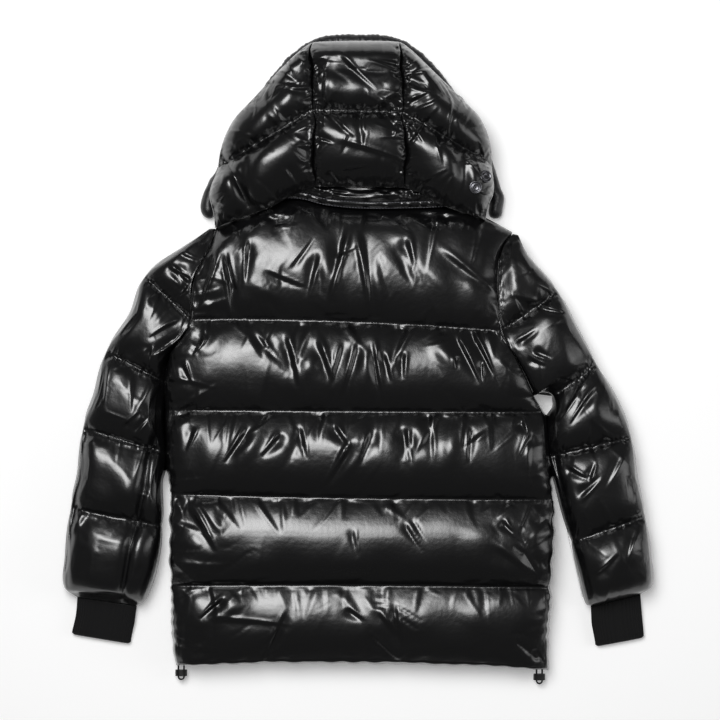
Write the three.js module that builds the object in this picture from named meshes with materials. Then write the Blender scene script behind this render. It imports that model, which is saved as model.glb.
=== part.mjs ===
// A hooded puffer jacket, zipped shut and laid flat on its front, with its back and its hood uppermost.
// Millimetres. +Z is up, +Y runs from the hem to the hood, and -X is the wearer's left.
// Every padded panel is a closed wall: a quilted outer face over a plain inner face.
import * as THREE from "three";

// Driving dimensions
const SEAM_GAP = 0.3; // between the back layer and the front layer, where they lie on each other
const JOIN_GAP = 0.8; // between two panels that are sewn edge to edge
const CENTRE_X = 0.508; // moves the middle of the outline to the origin
const CENTRE_Y = 1.239;
const SEAM_RISE = 14; // the quilting lines of the back stand this far above the layer between back and front
const EDGE_THICKNESS = 2; // of a panel at the seam round its outline
const BACK_PUFF = 33; // how far a baffle stands out from its quilting lines
const SLEEVE_PUFF = 29;
const HOOD_PUFF = 24;
const FRONT_PUFF = 38; // the same for the front, which the surface under it presses flat
const SIDE_BULGE = 2.5; // how far a baffle stands out past a side seam
const EDGE_ROUNDING = 55; // the width over which a baffle swells from its edge
const BAFFLE_POWER = 2.4; // roundness of a baffle from one quilting line to the next
const EDGE_POWER = 2.2; // roundness of a baffle beside an edge
const NECK_SHAPING = 3.9; // the body row from which the rows bend to the neck line
const NECK_SHAPING_POWER = 1.6;
const ARMHOLE_POWER = 0.5; // how steeply an edge stands up where the armhole starts
const UNDERARM_FADE = 0.3; // of a row, over which the side bulge dies out below the armhole
const SEAM_POWERS = { body: 5, shoulder: 4, sleeve: 3, gathers: 3, bulge: 8, bulgeAlong: 2 };
const GATHER_PITCH = 46; // of the gathers along the quilting lines
const GATHER_DEPTH = 4.5;
const GATHER_DRIFT = { reach: 61, turn: 0.8, line: 2.1 }; // keeps the gathers uneven along and between lines
const GATHER_SWING = { reach: 87, least: 0.55, most: 0.45, line: 1.7 }; // makes some of them deeper
const COLLAR_HEIGHT = 62;
const COLLAR_RISE = 28; // from the middle layer to the collar's outer face
const COLLAR_HALF_WIDTH = 146;
const COLLAR_TAPER = 0.09; // of its width, from its foot to its top
const COLLAR_POWER = 3.6; // roundness of its section seen along Y
const COLLAR_ROUNDING = 22; // the height over which it swells from its foot
const COLLAR_ENDS = [0.004, 0.996]; // of its way round, just short of the zip
const COLLAR_FOOT = { front: -0.7, back: -0.05 }; // lifts between which its foot changes necks
const COLLAR_CLEARANCE = { foot: 1.5, ends: 2, power: 8 }; // of its foot from the neck seam, in join gaps
const COLLAR_STEPS = [0, 0.12, 0.3, 0.5, 1]; // of its height
const NECK_BAND_ENDS = 13; // how many of the collar's columns the neck band leaves free at each end
const NECK_BAND_THICKNESS = 1.8;
const COLLAR_SLIT = 8; // how far the collar's hollow stops short of its side edges
const CENTRE_LINE = 4; // where the zip runs
const ZIP_HALF_WIDTH = 6;
const ZIP_DEPTH = 10; // of the zip below the middle layer
const ZIP_THICKNESS = 3;
const ZIP_TAPE = 1.2; // thickness
const COIL_HALF_WIDTH = 2.6;
const ZIP_BOTTOM = -437;
const ZIP_TOP = 224;
const SLIDER_Y = 214;
const SLIDER_Z = 31.4;
const SLIDER_SIZE = new THREE.Vector3(9, 13, 4.6);
const SLIDER_CORNER = 2;
const PULL_Y = 191.9;
const PULL_Z = 29.9;
const PULL_SIZE = new THREE.Vector3(6, 30, 1.6);
const HOOD_RIM_Z = 24; // where the hood's panels end, on top of the band round its opening
const HOOD_WALL = 9; // padding behind a hood seam
const HOOD_SPREAD = 0.85; // below 1, columns of the side panels lie closer together at the rim
const HOOD_POWERS = { middle: 2.6, side: 2.3 }; // roundness of a panel across its width
const BAND_WIDTH = 24;
const BAND_HEIGHT = 23;
const CUFF_THICKNESS = 15;
const CUFF_WALL = 6; // two layers of knitted rib
const CUFF_RIB_DEPTH = 0.9;
const CUFF_RIB_SIDES = 60;
const CUFF_POWER = 3.2; // roundness of its section
const SNAP_RADIUS = 8.5;
const SNAP_LIFT = 0.6; // of a cap's edge above the cloth
const SNAP_RIM = { height: 1.6, crown: 2.6, dish: 2.2, bevel: 1.2, width: 2.4 };
// Where the snaps sit on the hood's right panel, as columns and rows of its grid.
const SNAPS = [
  { column: 9, row: 2 },
  { column: 10, row: 3 },
];
const CORD_DROP = 16; // from the hem to the loop's turn
const HEM_CORDS = {
  left: { x: -254, y: -440.4, z: 17 },
  right: { x: 259, y: -446.3, z: 17 },
};
const CORD_RADIUS = 1.3;
const CORD_SPACING = 8; // between the two runs of the hem cord's loop
const LOCK_WIDTH = 17;
const LOCK_LENGTH = 9;
const LOCK_HEIGHT = 9;
const LOCK_ABOVE_TURN = 1;

const BLACK_SHELL = new THREE.MeshStandardMaterial({ color: 0x0b0b0c, roughness: 0.18, metalness: 0 });
const BLACK_KNIT = new THREE.MeshStandardMaterial({ color: 0x0a0a0a, roughness: 0.9, metalness: 0 });
const BLACK_ZIP = new THREE.MeshStandardMaterial({ color: 0x121212, roughness: 0.5, metalness: 0 });
const GUNMETAL = new THREE.MeshStandardMaterial({ color: 0x3a3a3d, roughness: 0.3, metalness: 1 });
const BLACK_PLASTIC = new THREE.MeshStandardMaterial({ color: 0x101010, roughness: 0.35, metalness: 0 });
const BLACK_CORD = new THREE.MeshStandardMaterial({ color: 0x0c0c0c, roughness: 0.8, metalness: 0 });

// Rows of the body, from hem to neck: where each quilting line meets the left and right edge, how far its
// middle bends towards the hood, the height of the layer between back and front, and how far the line stands
// above that layer.
const BODY_ROWS = [
  { row: 0, leftY: -440, rightY: -446, bend: 6, middleZ: 17, rise: 4 },
  { row: 1, leftY: -322, rightY: -325, bend: 2.5, middleZ: 37, rise: SEAM_RISE },
  { row: 2, leftY: -192, rightY: -200, bend: -2, middleZ: 43, rise: SEAM_RISE },
  { row: 3, leftY: -74, rightY: -77, bend: 0, middleZ: 44, rise: SEAM_RISE },
  { row: 4, leftY: 54, rightY: 38, bend: 5, middleZ: 44, rise: SEAM_RISE },
  { row: 5, leftY: 183, rightY: 176, bend: 0, middleZ: 44, rise: SEAM_RISE },
];

// The left and right edges of the body, from hem to shoulder point. Above the underarm they are the armholes.
const LEFT_EDGE = [
  { y: -440, x: -261 },
  { y: -400, x: -262 },
  { y: -322, x: -265 },
  { y: -192, x: -265 },
  { y: -74, x: -268 },
  { y: 3, x: -268 },
  { y: 28, x: -249 },
  { y: 54, x: -235 },
  { y: 84, x: -236 },
  { y: 110, x: -233 },
  { y: 137, x: -221 },
  { y: 160, x: -209 },
  { y: 183, x: -202 },
];
const RIGHT_EDGE = [
  { y: -446, x: 270 },
  { y: -400, x: 269 },
  { y: -325, x: 272 },
  { y: -200, x: 275 },
  { y: -142, x: 264 },
  { y: -77, x: 260 },
  { y: -54, x: 249 },
  { y: -6, x: 225 },
  { y: 21, x: 208 },
  { y: 38, x: 201 },
  { y: 82, x: 197 },
  { y: 136, x: 198 },
  { y: 160, x: 206 },
  { y: 176, x: 218 },
];
const UNDERARM = { left: 3.6, right: 3.2 }; // in rows of the body

// The neck and shoulder line of the back and of the front, by the share of the way across.
const BACK_NECK = [
  { across: 0, y: 183 },
  { across: 0.1, y: 203 },
  { across: 0.2, y: 220 },
  { across: 0.28, y: 223 },
  { across: 0.37, y: 214 },
  { across: 0.5, y: 209 },
  { across: 0.7, y: 210 },
  { across: 0.8, y: 211 },
  { across: 0.87, y: 204 },
  { across: 0.94, y: 190 },
  { across: 1, y: 176 },
];
const FRONT_NECK = [
  { across: 0, y: 183 },
  { across: 0.1, y: 202.5 },
  { across: 0.14, y: 206 },
  { across: 0.2, y: 198 },
  { across: 0.33, y: 174 },
  { across: 0.5, y: 164 },
  { across: 0.67, y: 174 },
  { across: 0.8, y: 198 },
  { across: 0.85, y: 204 },
  { across: 0.94, y: 190 },
  { across: 1, y: 176 },
];

// The largest folds of the back: middle, half length, the way it runs, half width, and height, above 0 for a
// ridge.
const BACK_FOLDS = [
  { x: -170, y: 108, reach: 42, degrees: 68, width: 12, height: -7 },
  { x: -128, y: 92, reach: 30, degrees: 152, width: 10, height: 5 },
  { x: -150, y: 150, reach: 45, degrees: 20, width: 12, height: -6 },
  { x: -38, y: 112, reach: 40, degrees: 105, width: 12, height: 7 },
  { x: 18, y: 120, reach: 46, degrees: 100, width: 12, height: 7 },
  { x: 62, y: 132, reach: 34, degrees: 118, width: 11, height: -6 },
  { x: 108, y: 110, reach: 40, degrees: 130, width: 14, height: 4 },
  { x: -118, y: 12, reach: 32, degrees: 118, width: 12, height: -6 },
  { x: -62, y: 2, reach: 38, degrees: 60, width: 12, height: 6 },
  { x: 12, y: -6, reach: 42, degrees: 80, width: 11, height: 6 },
  { x: 120, y: 8, reach: 34, degrees: 122, width: 12, height: 6 },
  { x: -150, y: -118, reach: 34, degrees: 62, width: 12, height: 6 },
  { x: -88, y: -122, reach: 30, degrees: 68, width: 11, height: -6 },
  { x: -8, y: -128, reach: 40, degrees: 66, width: 12, height: 7 },
  { x: 62, y: -120, reach: 34, degrees: 92, width: 12, height: -6 },
  { x: 130, y: -118, reach: 32, degrees: 84, width: 11, height: 5 },
  { x: -205, y: -225, reach: 42, degrees: 122, width: 13, height: 6 },
  { x: 205, y: -240, reach: 36, degrees: 148, width: 13, height: -5 },
  { x: -185, y: -350, reach: 34, degrees: 38, width: 11, height: 6 },
  { x: -120, y: -400, reach: 36, degrees: 62, width: 10, height: -5 },
  { x: 52, y: -385, reach: 40, degrees: 96, width: 11, height: -6 },
];

// Rows of each sleeve, from shoulder to cuff: its outer and inner edge, the height of the layer between its
// upper and under panel, how far a quilting line stands above that layer, and the puff's share. Rows 0 to 5
// are quilting lines.
const LEFT_SLEEVE = [
  { row: 0, outerX: -212, outerY: 183, innerX: -203, innerY: 183, middleZ: 44, rise: 5, puff: 0.2 },
  { row: 0.35, outerX: -244, outerY: 160, innerX: -214, innerY: 137, middleZ: 44, rise: 9, puff: 0.7 },
  { row: 1, outerX: -303, outerY: 116, innerX: -236, innerY: 54, middleZ: 44, rise: 13, puff: 1 },
  { row: 1.5, outerX: -321, outerY: 64, innerX: -273, innerY: -4, middleZ: 43, rise: 13, puff: 1 },
  { row: 2, outerX: -358, outerY: 10, innerX: -278, innerY: -32, middleZ: 42, rise: 13, puff: 1 },
  { row: 2.5, outerX: -372, outerY: -49, innerX: -283, innerY: -86, middleZ: 42, rise: 13, puff: 1 },
  { row: 3, outerX: -391, outerY: -98, innerX: -280, innerY: -133, middleZ: 41, rise: 13, puff: 1 },
  { row: 3.5, outerX: -396, outerY: -163, innerX: -282, innerY: -187, middleZ: 40, rise: 13, puff: 1 },
  { row: 4, outerX: -409, outerY: -212, innerX: -280, innerY: -238, middleZ: 38, rise: 13, puff: 1 },
  { row: 4.5, outerX: -414, outerY: -282, innerX: -290, innerY: -300, middleZ: 34, rise: 12, puff: 1 },
  { row: 4.85, outerX: -418, outerY: -328, innerX: -306, innerY: -345, middleZ: 24, rise: 9, puff: 1 },
  { row: 5, outerX: -405, outerY: -342, innerX: -317, innerY: -355, middleZ: 14, rise: 7, puff: 0 },
];
const RIGHT_SLEEVE = [
  { row: 0, outerX: 227, outerY: 174, innerX: 219, innerY: 176, middleZ: 44, rise: 5, puff: 0.2 },
  { row: 0.35, outerX: 242, outerY: 142, innerX: 200, innerY: 136, middleZ: 44, rise: 9, puff: 0.7 },
  { row: 1, outerX: 283, outerY: 94, innerX: 201, innerY: 38, middleZ: 44, rise: 13, puff: 1 },
  { row: 1.5, outerX: 306, outerY: 46, innerX: 226, innerY: -8, middleZ: 43, rise: 13, puff: 1 },
  { row: 2, outerX: 338, outerY: -9, innerX: 275, innerY: -54, middleZ: 42, rise: 13, puff: 1 },
  { row: 2.5, outerX: 366, outerY: -62, innerX: 273, innerY: -98, middleZ: 42, rise: 13, puff: 1 },
  { row: 3, outerX: 387, outerY: -112, innerX: 273, innerY: -139, middleZ: 41, rise: 13, puff: 1 },
  { row: 3.5, outerX: 393, outerY: -170, innerX: 288, innerY: -204, middleZ: 40, rise: 13, puff: 1 },
  { row: 4, outerX: 407, outerY: -224, innerX: 303, innerY: -260, middleZ: 38, rise: 13, puff: 1 },
  { row: 4.5, outerX: 413, outerY: -283, innerX: 317, innerY: -312, middleZ: 34, rise: 12, puff: 1 },
  { row: 4.85, outerX: 417, outerY: -326, innerX: 327, innerY: -351, middleZ: 24, rise: 9, puff: 1 },
  { row: 5, outerX: 405, outerY: -338, innerX: 332, innerY: -355, middleZ: 14, rise: 7, puff: 0 },
];

// Each ribbed cuff, from the sleeve's end to its own.
const LEFT_CUFF = [
  { row: 0, outerX: -403, outerY: -342.8, innerX: -318, innerY: -355.8, middleZ: 14 },
  { row: 0.5, outerX: -406, outerY: -369, innerX: -322, innerY: -382, middleZ: 10 },
  { row: 1, outerX: -412, outerY: -394, innerX: -327, innerY: -408, middleZ: 7.5 },
];
const RIGHT_CUFF = [
  { row: 0, outerX: 404, outerY: -338.8, innerX: 333, innerY: -355.8, middleZ: 14 },
  { row: 0.5, outerX: 407, outerY: -369, innerX: 335, innerY: -384, middleZ: 10 },
  { row: 1, outerX: 410, outerY: -399, innerX: 340, innerY: -412, middleZ: 7.5 },
];

// The hood from nape to brow: its rims, the seams of its middle panel, and the height of its seams in the
// middle with the roundness of the dome between the rims.
const HOOD_ROWS = [
  {
    row: 0, leftX: -204, leftY: 191, rightX: 180, rightY: 201,
    seamLeftX: -63, seamLeftY: 240, seamRightX: 65, seamRightY: 239,
    roof: 83.8, round: 5,
  },
  {
    row: 0.3, leftX: -206, leftY: 214, rightX: 184, rightY: 220,
    seamLeftX: -62, seamLeftY: 271, seamRightX: 66, seamRightY: 271,
    roof: 96, round: 4,
  },
  {
    row: 0.65, leftX: -205, leftY: 240, rightX: 187, rightY: 244,
    seamLeftX: -62, seamLeftY: 308, seamRightX: 65, seamRightY: 307,
    roof: 106, round: 3,
  },
  {
    row: 1, leftX: -194, leftY: 268, rightX: 183, rightY: 273,
    seamLeftX: -62, seamLeftY: 345, seamRightX: 62, seamRightY: 342,
    roof: 110, round: 2.5,
  },
  {
    row: 1.35, leftX: -177, leftY: 318, rightX: 172, rightY: 320,
    seamLeftX: -65, seamLeftY: 382, seamRightX: 61, seamRightY: 380,
    roof: 106, round: 2.4,
  },
  {
    row: 1.65, leftX: -147, leftY: 362, rightX: 145, rightY: 362,
    seamLeftX: -66, seamLeftY: 414, seamRightX: 61, seamRightY: 412,
    roof: 88, round: 2.3,
  },
  {
    row: 1.85, leftX: -114, leftY: 404, rightX: 112, rightY: 398,
    seamLeftX: -66, seamLeftY: 436, seamRightX: 59, seamRightY: 436,
    roof: 62, round: 2.2,
  },
  {
    row: 2, leftX: -82, leftY: 437, rightX: 72, rightY: 438,
    seamLeftX: -64, seamLeftY: 449, seamRightX: 57, seamRightY: 450,
    roof: 34, round: 2.2,
  },
];
const HOOD_TUCK = { at: 0.62, depth: 9, width: 0.1 }; // the fold that runs from each cheek to the nape

// The middle of the band round the hood's opening, from the left of the chin over the brow to the right.
const BAND_PATH = [
  { x: -212, y: 200, z: 12 },
  { x: -217, y: 222, z: 12 },
  { x: -206, y: 248, z: 12 },
  { x: -188, y: 282, z: 12 },
  { x: -170, y: 322, z: 12 },
  { x: -144, y: 362, z: 12 },
  { x: -114, y: 400, z: 12 },
  { x: -84, y: 432, z: 12 },
  { x: -50, y: 450, z: 12 },
  { x: 0, y: 453, z: 12 },
  { x: 46, y: 450, z: 12 },
  { x: 78, y: 434, z: 12 },
  { x: 110, y: 402, z: 12 },
  { x: 142, y: 362, z: 12 },
  { x: 166, y: 320, z: 12 },
  { x: 181, y: 280, z: 12 },
  { x: 192, y: 250, z: 12 },
  { x: 198, y: 222, z: 12 },
  { x: 194, y: 200, z: 12 },
];

const clamp = THREE.MathUtils.clamp;
const lerp = THREE.MathUtils.lerp;
const radians = THREE.MathUtils.degToRad;

// A smooth curve through one column of a table, read at a value of another column.
function track(table, from, to) {
  const slope = (i) => {
    const before = table[Math.max(i - 1, 0)];
    const after = table[Math.min(i + 1, table.length - 1)];
    return (after[to] - before[to]) / (after[from] - before[from]);
  };
  return (at) => {
    let i = 0;
    while (i < table.length - 2 && at > table[i + 1][from]) i += 1;
    const a = table[i];
    const b = table[i + 1];
    const span = b[from] - a[from];
    const t = clamp((at - a[from]) / span, 0, 1);
    const t2 = t * t;
    const t3 = t2 * t;
    return (
      (2 * t3 - 3 * t2 + 1) * a[to] +
      (t3 - 2 * t2 + t) * span * slope(i) +
      (3 * t2 - 2 * t3) * b[to] +
      (t3 - t2) * span * slope(i + 1)
    );
  };
}

// Several columns of a table as one function that gives them all.
function tracks(table, from, columns) {
  const each = columns.map((name) => [name, track(table, from, name)]);
  return (at) => Object.fromEntries(each.map(([name, read]) => [name, read(at)]));
}

// Rounded swelling: 0 at both ends of 0 to 1, and 1 in the middle.
function swell(t, power) {
  return (1 - Math.abs(2 * clamp(t, 0, 1) - 1) ** power) ** (1 / power);
}

// Swelling away from one edge: 0 at the edge, 1 from the given reach on.
function swellFrom(distance, reach) {
  return swell(clamp(distance / reach, 0, 1) / 2, EDGE_POWER);
}

// Rows that lie closer together beside a quilting line. The list is the same read from either end.
const ROW_STEPS = [0, 0.1, 0.35, 0.65, 0.9];
function rowsBetween(first, last) {
  const rows = [];
  for (let baffle = first; baffle < last; baffle += 1) {
    ROW_STEPS.forEach((step) => rows.push(baffle + step));
  }
  rows.push(last);
  return rows;
}

// Even columns from first to last, drawn towards both ends by the given share.
function columnsBetween(first, last, count, crowding) {
  return Array.from({ length: count + 1 }, (_, i) => {
    const even = i / count;
    const eased = even - (crowding * Math.sin(2 * Math.PI * even)) / (2 * Math.PI);
    return lerp(first, last, eased);
  });
}

// A closed wall between an outer and an inner face, each a function of a column and a row.
function wall(name, outer, inner, columns, rows, material) {
  const width = columns.length;
  const height = rows.length;
  const points = [];
  [outer, inner].forEach((face) => {
    rows.forEach((row) => columns.forEach((column) => points.push(...face(column, row).toArray())));
  });
  const at = (face, i, j) => face * width * height + j * width + i;
  const faces = [];
  const quad = (a, b, c, d) => faces.push(a, b, c, a, c, d);
  for (let j = 0; j < height - 1; j += 1) {
    for (let i = 0; i < width - 1; i += 1) {
      quad(at(0, i, j), at(0, i + 1, j), at(0, i + 1, j + 1), at(0, i, j + 1));
      quad(at(1, i, j), at(1, i, j + 1), at(1, i + 1, j + 1), at(1, i + 1, j));
    }
  }
  for (let i = 0; i < width - 1; i += 1) {
    quad(at(0, i, 0), at(1, i, 0), at(1, i + 1, 0), at(0, i + 1, 0));
    quad(at(0, i + 1, height - 1), at(1, i + 1, height - 1), at(1, i, height - 1), at(0, i, height - 1));
  }
  for (let j = 0; j < height - 1; j += 1) {
    quad(at(0, 0, j + 1), at(1, 0, j + 1), at(1, 0, j), at(0, 0, j));
    quad(at(0, width - 1, j), at(1, width - 1, j), at(1, width - 1, j + 1), at(0, width - 1, j + 1));
  }
  return solid(name, points, faces, material);
}

// A mesh from points and triangles, turned so that its faces point out.
function solid(name, points, faces, material) {
  let sixVolumes = 0;
  const corner = (i) => new THREE.Vector3(points[3 * i], points[3 * i + 1], points[3 * i + 2]);
  for (let f = 0; f < faces.length; f += 3) {
    sixVolumes += corner(faces[f]).dot(corner(faces[f + 1]).cross(corner(faces[f + 2])));
  }
  const turned = sixVolumes < 0 ? faces.map((_, i) => faces[i - (i % 3) + 2 - (i % 3)]) : faces;
  const geometry = new THREE.BufferGeometry();
  geometry.setAttribute("position", new THREE.Float32BufferAttribute(points, 3));
  geometry.setIndex(turned);
  geometry.computeVertexNormals();
  return named(name, geometry, material);
}

function named(name, geometry, material) {
  const mesh = new THREE.Mesh(geometry, material);
  mesh.name = name;
  return mesh;
}

const bodyRow = tracks(BODY_ROWS, "row", ["leftY", "rightY", "bend", "middleZ", "rise"]);
const leftEdge = track(LEFT_EDGE, "y", "x");
const rightEdge = track(RIGHT_EDGE, "y", "x");
const backNeck = track(BACK_NECK, "across", "y");
const frontNeck = track(FRONT_NECK, "across", "y");

// Where the armhole runs, the panels keep the height of a quilting line instead of closing.
function armholeRise(side, row) {
  const share = clamp((row - UNDERARM[side]) / (5 - UNDERARM[side]), 0, 1);
  return Math.sin(Math.PI * share) ** ARMHOLE_POWER;
}

// A point of the body's plan: across runs from the left edge to the right, row from the hem to the neck.
function bodyPlan(across, row, neck) {
  const { leftY, rightY, bend } = bodyRow(row);
  const topRow = BODY_ROWS[5];
  const toNeck = neck(across) - lerp(topRow.leftY, topRow.rightY, across);
  const share = THREE.MathUtils.smoothstep(row, NECK_SHAPING, 5) ** NECK_SHAPING_POWER;
  return {
    x: lerp(leftEdge(leftY), rightEdge(rightY), across),
    y: lerp(leftY, rightY, across) + bend * 4 * across * (1 - across) + toNeck * share,
    width: rightEdge(rightY) - leftEdge(leftY),
  };
}

// The height of the quilting lines above the layer between back and front.
function bodySeamHeight(across, row) {
  const { rise } = bodyRow(row);
  const hole = armholeRise(across < 0.5 ? "left" : "right", row);
  const edge = lerp(EDGE_THICKNESS, rise, hole);
  const shoulder = row > 4 ? 1 - (row - 4) * (1 - swell(across, SEAM_POWERS.shoulder)) : 1;
  return Math.max(lerp(edge, rise, swell(across, SEAM_POWERS.body)) * shoulder, EDGE_THICKNESS);
}

// How far a baffle of the body stands above its quilting lines, as a share of the full puff.
function bodyPuff(across, row, width) {
  return swell(row % 1, BAFFLE_POWER) * swellFrom(Math.min(across, 1 - across) * width, EDGE_ROUNDING);
}

// Below the armhole a baffle bulges past its side seam.
function sideBulge(across, row) {
  const left = across < 0.5;
  const open = clamp((UNDERARM[left ? "left" : "right"] - row) / UNDERARM_FADE, 0, 1);
  const nearEdge = 1 - swell(across, SEAM_POWERS.bulge);
  return (left ? -1 : 1) * SIDE_BULGE * swell(row % 1, SEAM_POWERS.bulgeAlong) * open * nearEdge;
}

// Gathers stand beside the quilting lines and die out towards the middle of a baffle.
function gathers(x, row) {
  const nearSeam = Math.sin(2 * Math.PI * (row % 1)) ** 2;
  const line = Math.round(row);
  const drift = GATHER_DRIFT.turn * Math.sin(x / GATHER_DRIFT.reach + line);
  const phase = (x / GATHER_PITCH) * 2 * Math.PI + line * GATHER_DRIFT.line + drift;
  const { reach, least, most } = GATHER_SWING;
  const swing = least + most * Math.sin(x / reach + line * GATHER_SWING.line);
  return GATHER_DEPTH * nearSeam * Math.cos(phase) * swing;
}

// The largest folds, as soft ridges and troughs.
function foldsAt(x, y) {
  return BACK_FOLDS.reduce((sum, fold) => {
    const turn = radians(fold.degrees);
    const along = (x - fold.x) * Math.cos(turn) + (y - fold.y) * Math.sin(turn);
    const across = (y - fold.y) * Math.cos(turn) - (x - fold.x) * Math.sin(turn);
    return sum + fold.height * Math.exp(-((along / fold.reach) ** 2) - (across / fold.width) ** 2);
  }, 0);
}

function backOuter(across, row) {
  const { x, y, width } = bodyPlan(across, row, backNeck);
  const puff = bodyPuff(across, row, width);
  const relief = puff * (BACK_PUFF + foldsAt(x, y)) + gathers(x, row) * swell(across, SEAM_POWERS.gathers);
  const z = bodyRow(row).middleZ + SEAM_GAP / 2 + bodySeamHeight(across, row) + Math.max(relief, 0);
  return new THREE.Vector3(x + sideBulge(across, row), y, z);
}

// A point of a front's plan: column runs from the side seam to the zip.
function frontPlan(left, column, row) {
  const plan = bodyPlan(left ? column / 2 : 1 - column / 2, row, frontNeck);
  const side = bodyPlan(left ? 0 : 1, row, frontNeck).x;
  const zipEdge = CENTRE_LINE + (left ? -1 : 1) * (ZIP_HALF_WIDTH + SEAM_GAP);
  return { x: lerp(side, zipEdge, column), y: plan.y, width: 2 * Math.abs(zipEdge - side) };
}

function frontFaces(left) {
  const outer = (column, row) => {
    const { x, y, width } = frontPlan(left, column, row);
    const across = left ? column / 2 : 1 - column / 2;
    const besideZip = swellFrom(((1 - column) * width) / 2, EDGE_ROUNDING / 2);
    const puff = bodyPuff(across, row, width) * FRONT_PUFF * besideZip;
    const z = bodyRow(row).middleZ - SEAM_GAP / 2 - bodySeamHeight(across, row) - puff;
    return new THREE.Vector3(x + sideBulge(across, row), y, Math.max(z, 0));
  };
  const inner = (column, row) => {
    const { x, y } = frontPlan(left, column, row);
    return new THREE.Vector3(x, y, bodyRow(row).middleZ - SEAM_GAP / 2);
  };
  return [outer, inner];
}

function backInner(across, row) {
  const { x, y } = bodyPlan(across, row, backNeck);
  return new THREE.Vector3(x, y, bodyRow(row).middleZ + SEAM_GAP / 2);
}

function bodyPanels() {
  const rows = rowsBetween(0, 5);
  const frontColumns = columnsBetween(0, 1, 9, 0.6);
  return [
    wall("back", backOuter, backInner, columnsBetween(0, 1, 40, 0.72), rows, BLACK_SHELL),
    wall("front_left", ...frontFaces(true), frontColumns, rows, BLACK_SHELL),
    wall("front_right", ...frontFaces(false), frontColumns, rows, BLACK_SHELL),
  ];
}

// A sleeve's inner edge follows the armhole row by row down to the underarm, and its own table after that.
function sleeveEdges(side) {
  const sign = side === "left" ? -1 : 1;
  const table = side === "left" ? LEFT_SLEEVE : RIGHT_SLEEVE;
  const own = tracks(table, "row", ["outerX", "outerY", "innerX", "innerY", "middleZ", "rise", "puff"]);
  return (row) => {
    const at = own(row);
    if (row <= 5 - UNDERARM[side]) {
      const armhole = bodyPlan(side === "left" ? 0 : 1, 5 - row, backNeck);
      at.innerX = armhole.x + sign * JOIN_GAP;
      at.innerY = armhole.y;
    }
    return { ...at, armhole: armholeRise(side, 5 - row), sign, name: side };
  };
}

// The faces of a sleeve's panel: across runs from its outer to its inner edge. The side is +1 for the upper
// panel and -1 for the under one.
function sleeveFaces(edges, side) {
  const plan = (across, row) => {
    const at = edges(row);
    const x = lerp(at.outerX, at.innerX, across);
    return new THREE.Vector3(x, lerp(at.outerY, at.innerY, across), at.middleZ);
  };
  const outer = (across, row) => {
    const at = edges(row);
    const width = Math.hypot(at.outerX - at.innerX, at.outerY - at.innerY);
    const reach = Math.min(EDGE_ROUNDING, width / 2);
    const round = swellFrom(Math.min(across, 1 - across) * width, reach);
    const puff = at.puff * swell(row % 1, BAFFLE_POWER);
    const innerEdge = lerp(EDGE_THICKNESS, at.rise, at.armhole);
    const height = lerp(lerp(EDGE_THICKNESS, innerEdge, across), at.rise, swell(across, SEAM_POWERS.sleeve));
    const open = across < 0.5 ? 1 : clamp((row - 5 + UNDERARM[at.name]) / UNDERARM_FADE, 0, 1);
    const outward = across < 0.5 ? at.sign : -at.sign;
    const bulge = SIDE_BULGE * puff * open * (1 - swell(across, SEAM_POWERS.bulge)) * outward;
    const point = plan(across, row);
    const full = side > 0 ? SLEEVE_PUFF : SLEEVE_PUFF * FRONT_PUFF / BACK_PUFF;
    point.x += bulge;
    point.z = Math.max(point.z + side * (SEAM_GAP / 2 + height + full * puff * round), 0);
    return point;
  };
  const inner = (across, row) => {
    const point = plan(across, row);
    point.z += (side * SEAM_GAP) / 2;
    return point;
  };
  return [outer, inner];
}

function sleeve(side) {
  const edges = sleeveEdges(side);
  const rows = rowsBetween(0, 5);
  const [upperOuter, upperInner] = sleeveFaces(edges, 1);
  const [underOuter, underInner] = sleeveFaces(edges, -1);
  return [
    wall(`sleeve_${side}_upper`, upperOuter, upperInner, columnsBetween(0, 1, 10, 0.55), rows, BLACK_SHELL),
    wall(`sleeve_${side}_under`, underOuter, underInner, columnsBetween(0, 1, 10, 0.55), rows, BLACK_SHELL),
  ];
}

// A closed ring of a flattened tube: turn runs once round, from the inner edge over the top.
function flatRing(at, turn, height, power, shrink) {
  const c = Math.cos(turn);
  const s = Math.sin(turn);
  const share = Math.sign(c) * Math.abs(c) ** (2 / power);
  const lift = Math.sign(s) * Math.abs(s) ** (2 / power);
  const half = new THREE.Vector3(at.outerX - at.innerX, at.outerY - at.innerY, 0).multiplyScalar(0.5);
  const reach = (half.length() - shrink) / half.length();
  const middle = new THREE.Vector3((at.outerX + at.innerX) / 2, (at.outerY + at.innerY) / 2, at.middleZ);
  return middle.addScaledVector(half, -share * reach).add(new THREE.Vector3(0, 0, (lift * height) / 2));
}

// A tube with open ends, as a closed wall: outer and inner are functions of the turn and the row.
function tube(name, outer, inner, sides, rows, material) {
  const points = [];
  [outer, inner].forEach((face) => {
    rows.forEach((row) => {
      for (let i = 0; i < sides; i += 1) points.push(...face((2 * Math.PI * i) / sides, row, i).toArray());
    });
  });
  const at = (face, i, j) => (face * rows.length + j) * sides + (i % sides);
  const faces = [];
  const quad = (a, b, c, d) => faces.push(a, b, c, a, c, d);
  const last = rows.length - 1;
  for (let i = 0; i < sides; i += 1) {
    for (let j = 0; j < last; j += 1) {
      quad(at(0, i, j), at(0, i + 1, j), at(0, i + 1, j + 1), at(0, i, j + 1));
      quad(at(1, i, j), at(1, i, j + 1), at(1, i + 1, j + 1), at(1, i + 1, j));
    }
    quad(at(0, i, 0), at(1, i, 0), at(1, i + 1, 0), at(0, i + 1, 0));
    quad(at(0, i + 1, last), at(1, i + 1, last), at(1, i, last), at(0, i, last));
  }
  return solid(name, points, faces, material);
}

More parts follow.
